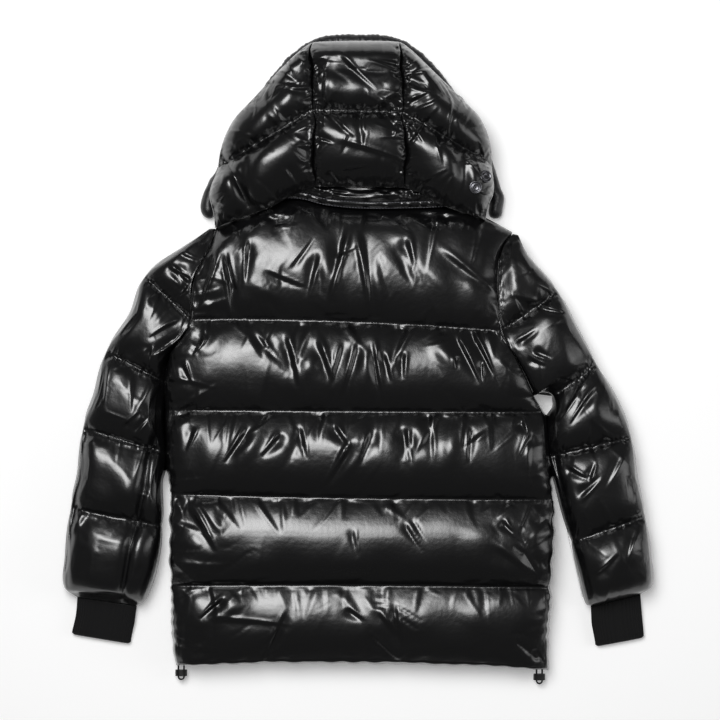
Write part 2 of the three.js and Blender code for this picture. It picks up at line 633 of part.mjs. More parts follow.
function cuff(side) {
  const table = side === "left" ? LEFT_CUFF : RIGHT_CUFF;
  const edges = tracks(table, "row", ["outerX", "outerY", "innerX", "innerY", "middleZ"]);
  const ring = (turn, row, shrink) => {
    return flatRing(edges(row), turn, CUFF_THICKNESS - 2 * shrink, CUFF_POWER, shrink);
  };
  const outer = (turn, row, i) => ring(turn, row, (i % 2) * CUFF_RIB_DEPTH);
  const inner = (turn, row) => ring(turn, row, CUFF_WALL);
  return tube(`cuff_${side}`, outer, inner, CUFF_RIB_SIDES, [0, 0.5, 1], BLACK_KNIT);
}

const COLLAR_COLUMNS = columnsBetween(...COLLAR_ENDS, 40, 0);

// The collar lies flat inside the hood: one strip from the zip round the back and to the zip again.
function collarPoint(column, row, inset, slit) {
  const turn = radians(-90 - 360 * column);
  const out = Math.sign(Math.cos(turn)) * Math.abs(Math.cos(turn)) ** (2 / COLLAR_POWER);
  const lift = Math.sign(Math.sin(turn)) * Math.abs(Math.sin(turn)) ** (2 / COLLAR_POWER);
  const reach = (COLLAR_HALF_WIDTH - inset) * (1 - COLLAR_TAPER * row) * out;
  const zipSide = column < 0.5 ? -1 : 1;
  const besideZip = lift < 0 && Math.abs(reach) < ZIP_HALF_WIDTH + SEAM_GAP;
  const x = CENTRE_LINE + (besideZip ? zipSide * (ZIP_HALF_WIDTH + SEAM_GAP) : reach);
  const across = (x - LEFT_EDGE.at(-1).x) / (RIGHT_EDGE.at(-1).x - LEFT_EDGE.at(-1).x);
  const toBack = THREE.MathUtils.smoothstep(lift, COLLAR_FOOT.front, COLLAR_FOOT.back);
  const bottom = lerp(frontNeck(across), backNeck(across), toBack);
  const swollen = lerp(SEAM_RISE, COLLAR_RISE, swellFrom(row * COLLAR_HEIGHT, COLLAR_ROUNDING));
  const height = slit ? SEAM_GAP / 2 : swollen;
  const { foot, ends, power } = COLLAR_CLEARANCE;
  const clear = JOIN_GAP * (foot + ends * Math.abs(out) ** power);
  return new THREE.Vector3(x, bottom + clear + COLLAR_HEIGHT * row, BODY_ROWS[5].middleZ + height * lift);
}

function collar() {
  const outer = (column, row) => collarPoint(column, row, 0, false);
  const inner = (column, row) => collarPoint(column, row, COLLAR_SLIT, true);
  return wall("collar", outer, inner, COLLAR_COLUMNS, COLLAR_STEPS, BLACK_SHELL);
}

// The band that covers the zip between the collar and the hood: a strip of the collar's points, moved out.
function neckBand() {
  const lifted = (height) => (column, row) => {
    return collarPoint(column, row, 0, false).add(new THREE.Vector3(0, 0, height));
  };
  const columns = COLLAR_COLUMNS.slice(NECK_BAND_ENDS, -NECK_BAND_ENDS);
  const rows = COLLAR_STEPS.slice(0, -1);
  const top = lifted(SEAM_GAP + NECK_BAND_THICKNESS);
  return wall("neck_band", top, lifted(SEAM_GAP), columns, rows, BLACK_SHELL);
}

const hoodRow = tracks(HOOD_ROWS, "row", [
  "leftX", "leftY", "seamLeftX", "seamLeftY", "seamRightX", "seamRightY", "rightX", "rightY", "roof", "round",
]);

const HOOD_STEPS = rowsBetween(0, 2);
const HOOD_SIDE_COLUMNS = columnsBetween(0, 1, 12, 0.5);
const HOOD_MIDDLE_COLUMNS = columnsBetween(0, 1, 10, 0.5);

// A point of the hood's plan, with the share of the way from the hood's middle to its rim. Column runs from
// the rim to the seam on the left panel, from seam to seam on the middle one, and from the seam to the rim on
// the right one.
function hoodPlan(panel, column, row) {
  const at = hoodRow(row);
  const seamShare = (at.seamRightX - at.seamLeftX) / (at.rightX - at.leftX);
  const gap = panel === "middle" ? JOIN_GAP / 2 : -JOIN_GAP / 2;
  const leftSeam = new THREE.Vector2(at.seamLeftX + gap, at.seamLeftY);
  const rightSeam = new THREE.Vector2(at.seamRightX - gap, at.seamRightY);
  if (panel === "middle") {
    return { plan: leftSeam.lerp(rightSeam, column), fromMiddle: Math.abs(2 * column - 1) * seamShare };
  }
  const left = panel === "left";
  const share = (left ? 1 - column : column) ** HOOD_SPREAD;
  const rim = left ? new THREE.Vector2(at.leftX, at.leftY) : new THREE.Vector2(at.rightX, at.rightY);
  const plan = (left ? leftSeam : rightSeam).lerp(rim, share);
  return { plan, fromMiddle: lerp(seamShare, 1, share) };
}

function hoodFaces(panel) {
  const seam = (column, row) => {
    const { plan, fromMiddle } = hoodPlan(panel, column, row);
    const { roof, round } = hoodRow(row);
    const dome = (1 - clamp(fromMiddle, 0, 1) ** round) ** (1 / round);
    return new THREE.Vector3(plan.x, plan.y, lerp(HOOD_RIM_Z + HOOD_WALL, roof, dome));
  };
  const outer = (column, row) => {
    const point = seam(column, row);
    const side = panel === "left" ? 1 - column : column;
    const across = panel === "middle" ? swell(column, HOOD_POWERS.middle) : swell(side, HOOD_POWERS.side);
    const along = swell(row === 2 ? 0 : row % 1, BAFFLE_POWER);
    const fromTuck = (side - HOOD_TUCK.at) / HOOD_TUCK.width;
    const tuck = panel === "middle" || row > 1 ? 0 : HOOD_TUCK.depth * Math.exp(-(fromTuck ** 2));
    point.z += Math.max(HOOD_PUFF * across - tuck, 0) * along;
    return point;
  };
  const inner = (column, row) => seam(column, row).sub(new THREE.Vector3(0, 0, HOOD_WALL));
  return [outer, inner];
}

function hood() {
  return ["left", "middle", "right"].map((panel) => {
    const columns = panel === "middle" ? HOOD_MIDDLE_COLUMNS : HOOD_SIDE_COLUMNS;
    return wall(`hood_${panel}`, ...hoodFaces(panel), columns, HOOD_STEPS, BLACK_SHELL);
  });
}

// A solid with an oval section carried along a path.
function carried(name, path, wide, high, steps, sides, material) {
  const oval = new THREE.Shape();
  oval.absellipse(0, 0, high / 2, wide / 2, 0, 2 * Math.PI);
  const section = new THREE.Shape(oval.getPoints(sides).slice(0, -1));
  return named(name, new THREE.ExtrudeGeometry(section, { steps, extrudePath: path }), material);
}

function hoodBand() {
  const path = new THREE.CatmullRomCurve3(BAND_PATH.map(({ x, y, z }) => new THREE.Vector3(x, y, z)));
  return carried("hood_band", path, BAND_WIDTH, BAND_HEIGHT, 40, 6, BLACK_SHELL);
}

// The front zip, shut: tape with the coil standing out along its middle.
function zip() {
  const rowAt = (y) => {
    const rows = BODY_ROWS.map(({ row, leftY, rightY }) => ({ row, y: (leftY + rightY) / 2 }));
    return track(rows, "y", "row")(y);
  };
  const heightAt = (y) => {
    const { middleZ, rise } = bodyRow(Math.min(rowAt(y), 5));
    return middleZ - Math.min(ZIP_DEPTH, rise);
  };
  const profile = [
    { x: -ZIP_HALF_WIDTH, down: ZIP_TAPE },
    { x: -COIL_HALF_WIDTH, down: ZIP_TAPE },
    { x: -COIL_HALF_WIDTH, down: ZIP_THICKNESS },
    { x: COIL_HALF_WIDTH, down: ZIP_THICKNESS },
    { x: COIL_HALF_WIDTH, down: ZIP_TAPE },
    { x: ZIP_HALF_WIDTH, down: ZIP_TAPE },
  ];
  const at = (y) => heightAt(y) + ZIP_THICKNESS;
  const outer = (i, y) => new THREE.Vector3(CENTRE_LINE + profile[i].x, y, at(y) - profile[i].down);
  const inner = (i, y) => new THREE.Vector3(CENTRE_LINE + profile[i].x, y, at(y));
  const stations = columnsBetween(ZIP_BOTTOM, ZIP_TOP, 16, 0);
  return wall("zip", outer, inner, profile.map((_, i) => i), stations, BLACK_ZIP);
}

// A block with rounded corners seen along Z, from its middle and its sizes.
function block(name, middle, size, corner, material) {
  const [halfX, halfY] = [size.x / 2, size.y / 2];
  const outline = new THREE.Shape();
  outline.moveTo(-halfX + corner, -halfY);
  outline.lineTo(halfX - corner, -halfY);
  outline.absarc(halfX - corner, -halfY + corner, corner, radians(-90), 0);
  outline.absarc(halfX - corner, halfY - corner, corner, 0, radians(90));
  outline.absarc(-halfX + corner, halfY - corner, corner, radians(90), radians(180));
  outline.absarc(-halfX + corner, -halfY + corner, corner, radians(180), radians(270));
  const settings = { depth: size.z, bevelEnabled: false, curveSegments: 4 };
  const geometry = new THREE.ExtrudeGeometry(outline, settings);
  geometry.translate(0, 0, -size.z / 2);
  const mesh = named(name, geometry, material);
  mesh.position.copy(middle);
  return mesh;
}

// The slider sits under the zip's top end and its pull tab hangs from it towards the hem.
function slider() {
  const bodyMiddle = new THREE.Vector3(CENTRE_LINE, SLIDER_Y, SLIDER_Z);
  const tabMiddle = new THREE.Vector3(CENTRE_LINE, PULL_Y, PULL_Z);
  return [
    block("zip_slider", bodyMiddle, SLIDER_SIZE, SLIDER_CORNER, GUNMETAL),
    block("zip_pull", tabMiddle, PULL_SIZE, SLIDER_CORNER, GUNMETAL),
  ];
}

// A cap of a snap fastener, resting on a face whose point and direction are given.
function snap(name, base, direction) {
  const profile = [
    { radius: 0, height: SNAP_LIFT },
    { radius: SNAP_RADIUS, height: SNAP_LIFT },
    { radius: SNAP_RADIUS, height: SNAP_LIFT + SNAP_RIM.height },
    { radius: SNAP_RADIUS - SNAP_RIM.bevel, height: SNAP_LIFT + SNAP_RIM.crown },
    { radius: SNAP_RADIUS - SNAP_RIM.width, height: SNAP_LIFT + SNAP_RIM.dish },
    { radius: 0, height: SNAP_LIFT + SNAP_RIM.dish },
  ];
  const points = profile.map(({ radius, height }) => new THREE.Vector2(radius, height));
  const mesh = named(name, new THREE.LatheGeometry(points, 16), GUNMETAL);
  mesh.quaternion.setFromUnitVectors(new THREE.Vector3(0, 1, 0), direction);
  mesh.position.copy(base);
  return mesh;
}

function snaps() {
  const [outer] = hoodFaces("right");
  return SNAPS.map((place, i) => {
    const column = HOOD_SIDE_COLUMNS[place.column];
    const row = HOOD_STEPS[place.row];
    const step = 0.05;
    const alongColumn = outer(column + step, row).sub(outer(column - step, row));
    const alongRow = outer(column, row + step).sub(outer(column, row - step));
    return snap(`snap_${i + 1}`, outer(column, row), alongColumn.cross(alongRow).normalize());
  });
}

// The end of the hem cord's loop at one side seam, and the lock that grips its two runs.
function hemCord(side) {
  const { x, y, z } = HEM_CORDS[side];
  const half = CORD_SPACING / 2;
  const turnY = y - CORD_DROP;
  const run = (sign, share) => new THREE.Vector3(x + sign * half, lerp(y, turnY, share), z);
  const turn = [30, 60, 90, 120, 150].map(radians).map(
    (angle) => new THREE.Vector3(x - half * Math.cos(angle), turnY - half * Math.sin(angle), z),
  );
  const down = [0, 0.35, 0.7, 0.85, 1].map((share) => run(-1, share));
  const up = [1, 0.85, 0.7, 0.35, 0].map((share) => run(1, share));
  const path = new THREE.CatmullRomCurve3([...down, ...turn, ...up]);
  const cord = carried(`hem_cord_${side}`, path, 2 * CORD_RADIUS, 2 * CORD_RADIUS, 24, 4, BLACK_CORD);
  const outline = new THREE.Shape();
  outline.absellipse(0, 0, LOCK_WIDTH / 2, LOCK_HEIGHT / 2, 0, 2 * Math.PI);
  [-half, half].forEach((holeX) => {
    outline.holes.push(new THREE.Path().absarc(holeX, 0, CORD_RADIUS + SEAM_GAP, 0, 2 * Math.PI, true));
  });
  const settings = { depth: LOCK_LENGTH, bevelEnabled: false, curveSegments: 5 };
  const geometry = new THREE.ExtrudeGeometry(outline, settings);
  const lock = named(`cord_lock_${side}`, geometry, BLACK_PLASTIC);
  lock.rotation.x = radians(90);
  lock.position.set(x, turnY + LOCK_LENGTH + LOCK_ABOVE_TURN, z);
  return [cord, lock];
}

const jacket = new THREE.Group();
jacket.position.set(CENTRE_X, CENTRE_Y, 0);
jacket.add(...bodyPanels(), ...sleeve("left"), ...sleeve("right"), cuff("left"), cuff("right"));
jacket.add(collar(), neckBand(), ...hood(), hoodBand());
jacket.add(zip(), ...slider(), ...snaps(), ...hemCord("left"), ...hemCord("right"));

export default jacket;
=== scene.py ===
"""A glossy black puffer jacket with a hood, laid flat on its front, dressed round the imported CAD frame.

Lengths in the tables are millimetres in the garment's own plan: x runs across the back, y from the hem
to the hood, and z up from the surface that the jacket lies on. Every finished mesh is in metres in the CAD
frame.
"""

import bpy
import numpy as np
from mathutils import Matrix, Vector


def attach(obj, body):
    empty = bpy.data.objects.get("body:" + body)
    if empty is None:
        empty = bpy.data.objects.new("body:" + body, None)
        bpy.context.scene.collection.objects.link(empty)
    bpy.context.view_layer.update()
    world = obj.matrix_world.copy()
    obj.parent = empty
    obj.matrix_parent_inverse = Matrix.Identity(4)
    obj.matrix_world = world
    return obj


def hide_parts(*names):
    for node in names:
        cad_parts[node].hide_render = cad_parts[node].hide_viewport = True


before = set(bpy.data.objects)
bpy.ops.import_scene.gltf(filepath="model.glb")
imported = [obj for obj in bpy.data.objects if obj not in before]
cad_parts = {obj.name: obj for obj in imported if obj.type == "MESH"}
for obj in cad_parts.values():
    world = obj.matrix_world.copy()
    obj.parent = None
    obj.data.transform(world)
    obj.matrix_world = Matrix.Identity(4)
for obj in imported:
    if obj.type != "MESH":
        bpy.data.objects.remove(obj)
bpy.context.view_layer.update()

bl_info = {
    "name": "Puffer jacket",
    "version": (1, 0, 0),
    "blender": (4, 5, 0),
    "location": "View3D > Sidebar > Jacket",
    "description": "Makes a quilted puffer jacket that lies flat on its front",
    "category": "Object",
}

MM = 0.001
GARMENT = "jacket"  # the body that every sewn piece rides on
GARMENT_ORIGIN = np.array([0.508, 1.239, 0.0])  # where the garment's own origin stands in the CAD frame
LAYER_GAP = 0.3  # between the back layer and the front layer
JOIN_GAP = 0.8  # between two panels that are sewn edge to edge
SEAM_EDGE = 2.0  # thickness of a panel at the seam round its outline
SIDE_BULGE = 3.5  # how far a baffle stands out past a side seam
TOUCH_BULGE = 9.0  # the same where a sleeve lies against the body
EDGE_ROUNDING = 55.0  # the width over which a baffle swells from its edge
BAFFLE_POWER = 2.4  # roundness of a baffle from one quilting line to the next
BACK_SLUMP = 0.12  # how far the down of the back's second baffle has sunk, as a share of the baffle
SEAM_LIFT = 11.0  # how much higher a stitched line lies here than in the plain solid
SLEEVE_LIFT = 8.0  # the same on the sleeves' upper side
ARMHOLE_LIFT = 22.0  # the same where the sleeves are set in
BACK_FILL = 0.92  # how much of the back's puff the down fills
SLEEVE_FILL = {1: 0.96, -1: 1.15}  # the same for the upper and the under side of a sleeve
HEM_FILL = 0.9  # how much fuller the lowest baffle is at the hem
FOLD_SHARE = 0.7  # how much of the largest folds' height the puff takes up
PRESSED = 0.85  # how straight a side becomes where a sleeve lies against the body
CENTRE_LINE = 4.0  # where the zip runs
ZIP_EDGE = 6.3  # half the width that the zip takes
INNER_STEP = 8  # one point of a panel's plain inner face for so many of its outer face
BAFFLES = 5  # of the body, from the hem to the neck, and of each sleeve
HOOD_BAFFLES = 2
LOWEST = 0.3  # how high above the surface the lowest points lie
CUT_EASE = 0.02  # how much longer a panel is cut than it lies, as a share
GROOVE_DEPTH = 9.0  # of the lengthwise seams of the sleeves and the tuck of the hood
GROOVE_WIDTH = 6.0


# Curves and small tables


def table(names, *rows):
    """A table with named columns, as one array for each column."""
    return dict(zip(names.split(), np.array(rows, float).T))


def track(columns, start, end):
    """A cubic curve through one column against another, with the slope of each point's two neighbours."""
    x, y = columns[start], columns[end]
    before = np.maximum(np.arange(len(x)) - 1, 0)
    after = np.minimum(np.arange(len(x)) + 1, len(x) - 1)
    slope = (y[after] - y[before]) / (x[after] - x[before])

    def read(at):
        at = np.asarray(at, float)
        i = np.clip(np.searchsorted(x, at, side="right") - 1, 0, len(x) - 2)
        span = x[i + 1] - x[i]
        t = np.clip((at - x[i]) / span, 0, 1)
        return (
            (2 * t**3 - 3 * t**2 + 1) * y[i]
            + (t**3 - 2 * t**2 + t) * span * slope[i]
            + (3 * t**2 - 2 * t**3) * y[i + 1]
            + (t**3 - t**2) * span * slope[i + 1]
        )

    return read


def swell(t, power):
    """0 at both ends of 0 to 1 and 1 in the middle, round like a superellipse of that power."""
    return (1 - np.abs(2 * np.clip(t, 0, 1) - 1) ** power) ** (1 / power)


def swell_from(distance, reach):
    """0 at an edge and 1 from the given reach on."""
    return swell(np.clip(distance / reach, 0, 1) / 2, 2.2)


def edge_rise(distance, reach):
    """As swell_from, but fuller, for a free edge that the padding pushes out."""
    return swell(np.clip(distance / reach, 0, 1) / 2, 2.9)


def lens(t):
    """0 at both ends of 0 to 1 and 1 in the middle, with the slope of a filled tube beside its stitches."""
    return (1 - np.abs(2 * np.clip(t, 0, 1) - 1) ** BAFFLE_POWER) ** 0.85


def smoothstep(value, low, high):
    """0 below low, 1 above high, with an S between them."""
    t = np.clip((value - low) / (high - low), 0, 1)
    return t * t * (3 - 2 * t)


def lerp(a, b, t):
    """From a at 0 to b at 1."""
    return a + (b - a) * t


def points(x, y, z):
    """Arrays of x, y and z as one array of points."""
    return np.stack(np.broadcast_arrays(x, y, z), axis=-1).astype(float)


def distance_along(x, y):
    """How far each point of a line in the plan is from its start, along the line."""
    return np.concatenate([[0], np.cumsum(np.hypot(np.diff(x), np.diff(y)))])


def eased(count, crowding):
    """Even steps from 0 to 1, drawn towards both ends by the given share."""
    even = np.linspace(0, 1, count + 1)
    return even - crowding * np.sin(2 * np.pi * even) / (2 * np.pi)


def soft_noise(shape, cell_rows, cell_columns, seed):
    """Random heights on a coarse grid, blended with an S between its points."""
    dice = np.random.default_rng(seed).standard_normal(
        (int(shape[0] / cell_rows) + 3, int(shape[1] / cell_columns) + 3)
    )
    rows, columns = np.arange(shape[0]) / cell_rows, np.arange(shape[1]) / cell_columns
    j, i = rows.astype(int), columns.astype(int)
    fj, fi = smoothstep(rows - j, 0, 1)[:, None], smoothstep(columns - i, 0, 1)[None, :]
    low = dice[np.ix_(j, i)] * (1 - fi) + dice[np.ix_(j, i + 1)] * fi
    high = dice[np.ix_(j + 1, i)] * (1 - fi) + dice[np.ix_(j + 1, i + 1)] * fi
    return low * (1 - fj) + high * fj


# The jacket's own sizes, the same as in the CAD source

BODY = table(
    "row left_y right_y bend middle_z rise",
    (0, -440, -446, 6, 17, 4),
    (1, -322, -325, 2.5, 37, 14),
    (2, -192, -200, -2, 43, 14),
    (3, -74, -77, 0, 44, 14),
    (4, 54, 38, 5, 44, 14),
    (5, 183, 176, 0, 44, 14),
)
LEFT_EDGE = table(
    "y x",
    (-440, -261), (-400, -262), (-322, -265), (-192, -265), (-74, -268), (3, -268), (28, -249),
    (54, -235), (84, -236), (110, -233), (137, -221), (160, -209), (183, -202),
)
RIGHT_EDGE = table(
    "y x",
    (-446, 270), (-400, 269), (-325, 272), (-200, 275), (-142, 264), (-77, 260), (-54, 249),
    (-6, 225), (21, 208), (38, 201), (82, 197), (136, 198), (160, 206), (176, 218),
)
UNDERARM = {"left": 3.6, "right": 3.2}  # in rows of the body
BACK_NECK = table(
    "across y",
    (0, 183), (0.1, 203), (0.2, 220), (0.28, 223), (0.37, 214), (0.5, 209),
    (0.7, 210), (0.8, 211), (0.87, 204), (0.94, 190), (1, 176),
)
FRONT_NECK = table(
    "across y",
    (0, 183), (0.1, 202.5), (0.14, 206), (0.2, 198), (0.33, 174), (0.5, 164),
    (0.67, 174), (0.8, 198), (0.85, 204), (0.94, 190), (1, 176),
)
EDGE_COLUMNS = ("outer_x", "outer_y", "inner_x", "inner_y")  # of the tables of the sleeves and cuffs
SLEEVE_COLUMNS = "row outer_x outer_y inner_x inner_y middle_z rise puff"
SLEEVE = {
    "left": table(
        SLEEVE_COLUMNS,
        (0, -212, 183, -203, 183, 44, 5, 0.2),
        (0.35, -244, 160, -214, 137, 44, 9, 0.7),
        (1, -303, 116, -236, 54, 44, 13, 1),
        (1.5, -321, 64, -273, -4, 43, 13, 1),
        (2, -358, 10, -278, -32, 42, 13, 1),
        (2.5, -372, -49, -283, -86, 42, 13, 1),
        (3, -391, -98, -280, -133, 41, 13, 1),
        (3.5, -396, -163, -282, -187, 40, 13, 1),
        (4, -409, -212, -280, -238, 38, 13, 1),
        (4.5, -414, -282, -290, -300, 34, 12, 1),
        (4.85, -418, -328, -306, -345, 24, 9, 1),
        (5, -405, -342, -317, -355, 14, 7, 0),
    ),
    "right": table(
        SLEEVE_COLUMNS,
        (0, 227, 174, 219, 176, 44, 5, 0.2),
        (0.35, 242, 142, 200, 136, 44, 9, 0.7),
        (1, 283, 94, 201, 38, 44, 13, 1),
        (1.5, 306, 46, 226, -8, 43, 13, 1),
        (2, 338, -9, 275, -54, 42, 13, 1),
        (2.5, 366, -62, 273, -98, 42, 13, 1),
        (3, 387, -112, 273, -139, 41, 13, 1),
        (3.5, 393, -170, 288, -204, 40, 13, 1),
        (4, 407, -224, 303, -260, 38, 13, 1),
        (4.5, 413, -283, 317, -312, 34, 12, 1),
        (4.85, 417, -326, 327, -351, 24, 9, 1),
        (5, 405, -338, 332, -355, 14, 7, 0),
    ),
}
CUFF_COLUMNS = "row outer_x outer_y inner_x inner_y middle_z"
CUFF = {
    "left": table(
        CUFF_COLUMNS,
        (0, -403, -342.8, -318, -355.8, 14),
        (0.5, -406, -369, -322, -382, 10),
        (1, -412, -394, -327, -408, 7.5),
    ),
    "right": table(
        CUFF_COLUMNS,
        (0, 404, -338.8, 333, -355.8, 14),
        (0.5, 407, -369, 335, -384, 10),
        (1, 410, -399, 340, -412, 7.5),
    ),
}
HOOD = table(
    "row left_x left_y seam_left_x seam_left_y seam_right_x seam_right_y right_x right_y roof round",
    (0, -204, 191, -63, 240, 65, 239, 180, 201, 83.8, 5),
    (0.3, -206, 214, -62, 271, 66, 271, 184, 220, 96, 4),
    (0.65, -205, 240, -62, 308, 65, 307, 187, 244, 106, 3),
    (1, -194, 268, -62, 345, 62, 342, 183, 273, 110, 2.5),
    (1.35, -177, 318, -65, 382, 61, 380, 172, 320, 106, 2.4),
    (1.65, -147, 362, -66, 414, 61, 412, 145, 362, 88, 2.3),
    (1.85, -114, 404, -66, 436, 59, 436, 112, 398, 62, 2.2),
    (2, -82, 437, -64, 449, 57, 450, 72, 438, 34, 2.2),
)
HOOD_RIM_Z = 24.0
HOOD_WALL = 9.0
HOOD_MIDDLE_Y = 300.0  # the rim is pushed out from this height in the plan
HOOD_RIM_COVER = 12.0  # how far the side panels reach over the band, down to the cheeks
HOOD_OVERHANG = 8.0  # how far the lower edge of the side panels hangs over the shoulders
HOOD_SEAM_WAVE = 1.5  # how far the seams beside the middle panel wander
BROW_FILL = 22.0  # how much more padding the hood has over the brow than the plain solid
SEAM_ALLOWANCE = 3.0  # cloth past a seam, under the next panel
HOOD_TUCK = {"at": 0.62, "depth": 9.0, "width": 0.1}
BAND_PATH = table(
    "x y z",
    (-212, 200, 12), (-217, 222, 12), (-206, 248, 12), (-188, 282, 12), (-170, 322, 12),
    (-144, 362, 12),
    (-114, 400, 12), (-84, 432, 12), (-50, 450, 12), (0, 453, 12), (46, 450, 12), (78, 434, 12),
    (110, 402, 12), (142, 362, 12), (166, 320, 12), (181, 280, 12), (192, 250, 12), (198, 222, 12),
    (194, 200, 12),
)
COLLAR_HALF_WIDTH = 146.0
COLLAR_TAPER = 0.09
COLLAR_HEIGHT = 62.0
COLLAR_RISE = 28.0
SEAM_RISE = 14.0
COLLAR_SLIT = 8.0
COLLAR_POWER = 3.6  # how square the flattened ring is
NECK_BAND_COLUMNS = (0.3264, 0.6736)
NECK_BAND_TOP = 0.5
NECK_BAND_THICKNESS = 1.8
NECK_BAND_ROWS = (0.04, 0.28)  # where its two rows of stitches run, from its lower edge to its upper one

# The largest folds of the back: x and y of the middle, half length, the way it runs in degrees, half width
# and height.
BACK_FOLDS = (
    (-170, 108, 42, 68, 12, -7),
    (-128, 92, 30, 152, 10, 5),
    (-150, 150, 45, 20, 12, -6),
    (-38, 112, 40, 105, 12, 7),
    (18, 120, 46, 100, 12, 7),
    (62, 132, 34, 118, 11, -6),
    (108, 110, 40, 130, 14, 4),
    (-118, 12, 32, 118, 12, -6),
    (-62, 2, 38, 60, 12, 6),
    (12, -6, 42, 80, 11, 6),
    (120, 8, 34, 122, 12, 6),
    (-150, -118, 34, 62, 12, 6),
    (-88, -122, 30, 68, 11, -6),
    (-8, -128, 40, 66, 12, 7),
    (62, -120, 34, 92, 12, -6),
    (130, -118, 32, 84, 11, 5),
    (-205, -225, 42, 122, 13, 6),
    (205, -240, 36, 148, 13, -5),
    (-185, -350, 34, 38, 11, 6),
    (-120, -400, 36, 62, 10, -5),
    (52, -385, 40, 96, 11, -6),
)

SNAPS = ((162.5, 238.0, 0.35), (176.4, 253.0, 0.5))  # x, y and how far each turns from level to the cloth

body_at = {name: track(BODY, "row", name) for name in BODY}
left_edge, right_edge = track(LEFT_EDGE, "y", "x"), track(RIGHT_EDGE, "y", "x")
back_neck, front_neck = track(BACK_NECK, "across", "y"), track(FRONT_NECK, "across", "y")
sleeve_at = {side: {name: track(SLEEVE[side], "row", name) for name in SLEEVE[side]} for side in SLEEVE}
cuff_at = {side: {name: track(CUFF[side], "row", name) for name in CUFF[side]} for side in CUFF}
hood_at = {name: track(HOOD, "row", name) for name in HOOD}


def armhole_rise(side, row):
    """How far a panel's edge stands up along the armhole: an arch from the underarm to the shoulder."""
    share = np.clip((row - UNDERARM[side]) / (BAFFLES - UNDERARM[side]), 0, 1)
    return np.sin(np.pi * share) ** 0.5


def body_plan(across, row, neck):
    """x and y of the body, and its width there: straight rows between the edges, bent to the neck line."""
    left_y, right_y = body_at["left_y"](row), body_at["right_y"](row)
    to_neck = neck(across) - lerp(BODY["left_y"][-1], BODY["right_y"][-1], across)
    x = lerp(left_edge(left_y), right_edge(right_y), across)
    y = lerp(left_y, right_y, across) + body_at["bend"](row) * 4 * across * (1 - across)
    width = right_edge(right_y) - left_edge(left_y)
    return x, y + to_neck * smoothstep(row, 3.9, BAFFLES) ** 1.6, width


def body_seam_height(across, row):
    """Height of the quilting lines above the layer between back and front."""
    rise = body_at["rise"](row)
    hole = np.where(across < 0.5, armhole_rise("left", row), armhole_rise("right", row))
    edge = lerp(SEAM_EDGE, rise + ARMHOLE_LIFT, hole)
    shoulder = np.where(row > 4, 1 - (row - 4) * (1 - swell(across, 4)), 1)
    line = rise + SEAM_LIFT * np.minimum(row, 1) * (1 - smoothstep(row, 4.4, BAFFLES))
    return np.maximum(lerp(edge, line, swell(across, 5)) * shoulder, SEAM_EDGE)


def edge_waves(across, row, y):
    """How far their thread draws the side seams sideways: two sines that die out away from the edge."""
    free = np.clip((3 - row) / 0.5, 0, 1) * smoothstep(np.abs(2 * across - 1), 0.8, 1)
    slow = 0.9 * np.sin(y / 7.7 + 4 * np.sin(y / 43))
    quick = 0.7 * np.sin(y / 4.3 + 5 * np.sin(y / 29) + across)
    return free * (slow + quick)


def hem_waves(x, row):
    """The same for the hem, up and down."""
    slow = 0.6 * np.sin(x / 9.3 + 5 * np.sin(x / 61))
    quick = 0.5 * np.sin(x / 5.3 + x / 31)
    return (1 - smoothstep(row, 0, 0.12)) * (slow + quick)


def touch(y, left):
    """1 where a sleeve lies against the body, from the underarm down, and 0 elsewhere."""
    top = np.where(left, 5.0, -68.0)
    return smoothstep(y, -178, -150) * (1 - smoothstep(y, top - 14, top))


def side_bulge(across, row, y):
    """How far a baffle stands out past the side seam: an arch from one quilting line to the next."""
    underarm = np.where(across < 0.5, UNDERARM["left"], UNDERARM["right"])
    free = np.clip((underarm - row) / 0.3, 0, 1)
    pressed = touch(y, across < 0.5)
    arch = lerp(swell(row % 1, 2.5), 1, PRESSED * pressed)
    way = np.where(across < 0.5, -1, 1)
    return way * lerp(SIDE_BULGE, TOUCH_BULGE, pressed) * arch * free * (1 - swell(across, 8))


def folds_at(x, y):
    """The largest folds: the sum of long bell-shaped ridges and troughs."""
    height = np.zeros_like(x)
    for fold_x, fold_y, reach, degrees, width, rise in BACK_FOLDS:
        turn = np.radians(degrees)
        along = (x - fold_x) * np.cos(turn) + (y - fold_y) * np.sin(turn)
        across = (y - fold_y) * np.cos(turn) - (x - fold_x) * np.sin(turn)
        height += rise * np.exp(-((along / reach) ** 2) - (across / width) ** 2)
    return height


def crease_shape(along, across, length, width, steep, opening):
    """A dent that narrows to a point: one wall gentle, the other steep with a crest beside it.

    Along its length it opens over the given share and then dies out. Across, it is a bell with a different
    width on each side.
    """
    share = np.clip(along / length, 0, 1)
    opened = smoothstep(share, 0, opening) * (1 - share) ** 0.8 * (along > 0) * (along < length)
    u = steep * across / (width * (1 - 0.65 * share))
    trough = np.exp(-((u / np.where(u < 0, 1.35, 0.45)) ** 2))
    crest = 0.5 * np.exp(-(((u - 0.95) / 0.38) ** 2))
    return opened * (crest - trough)


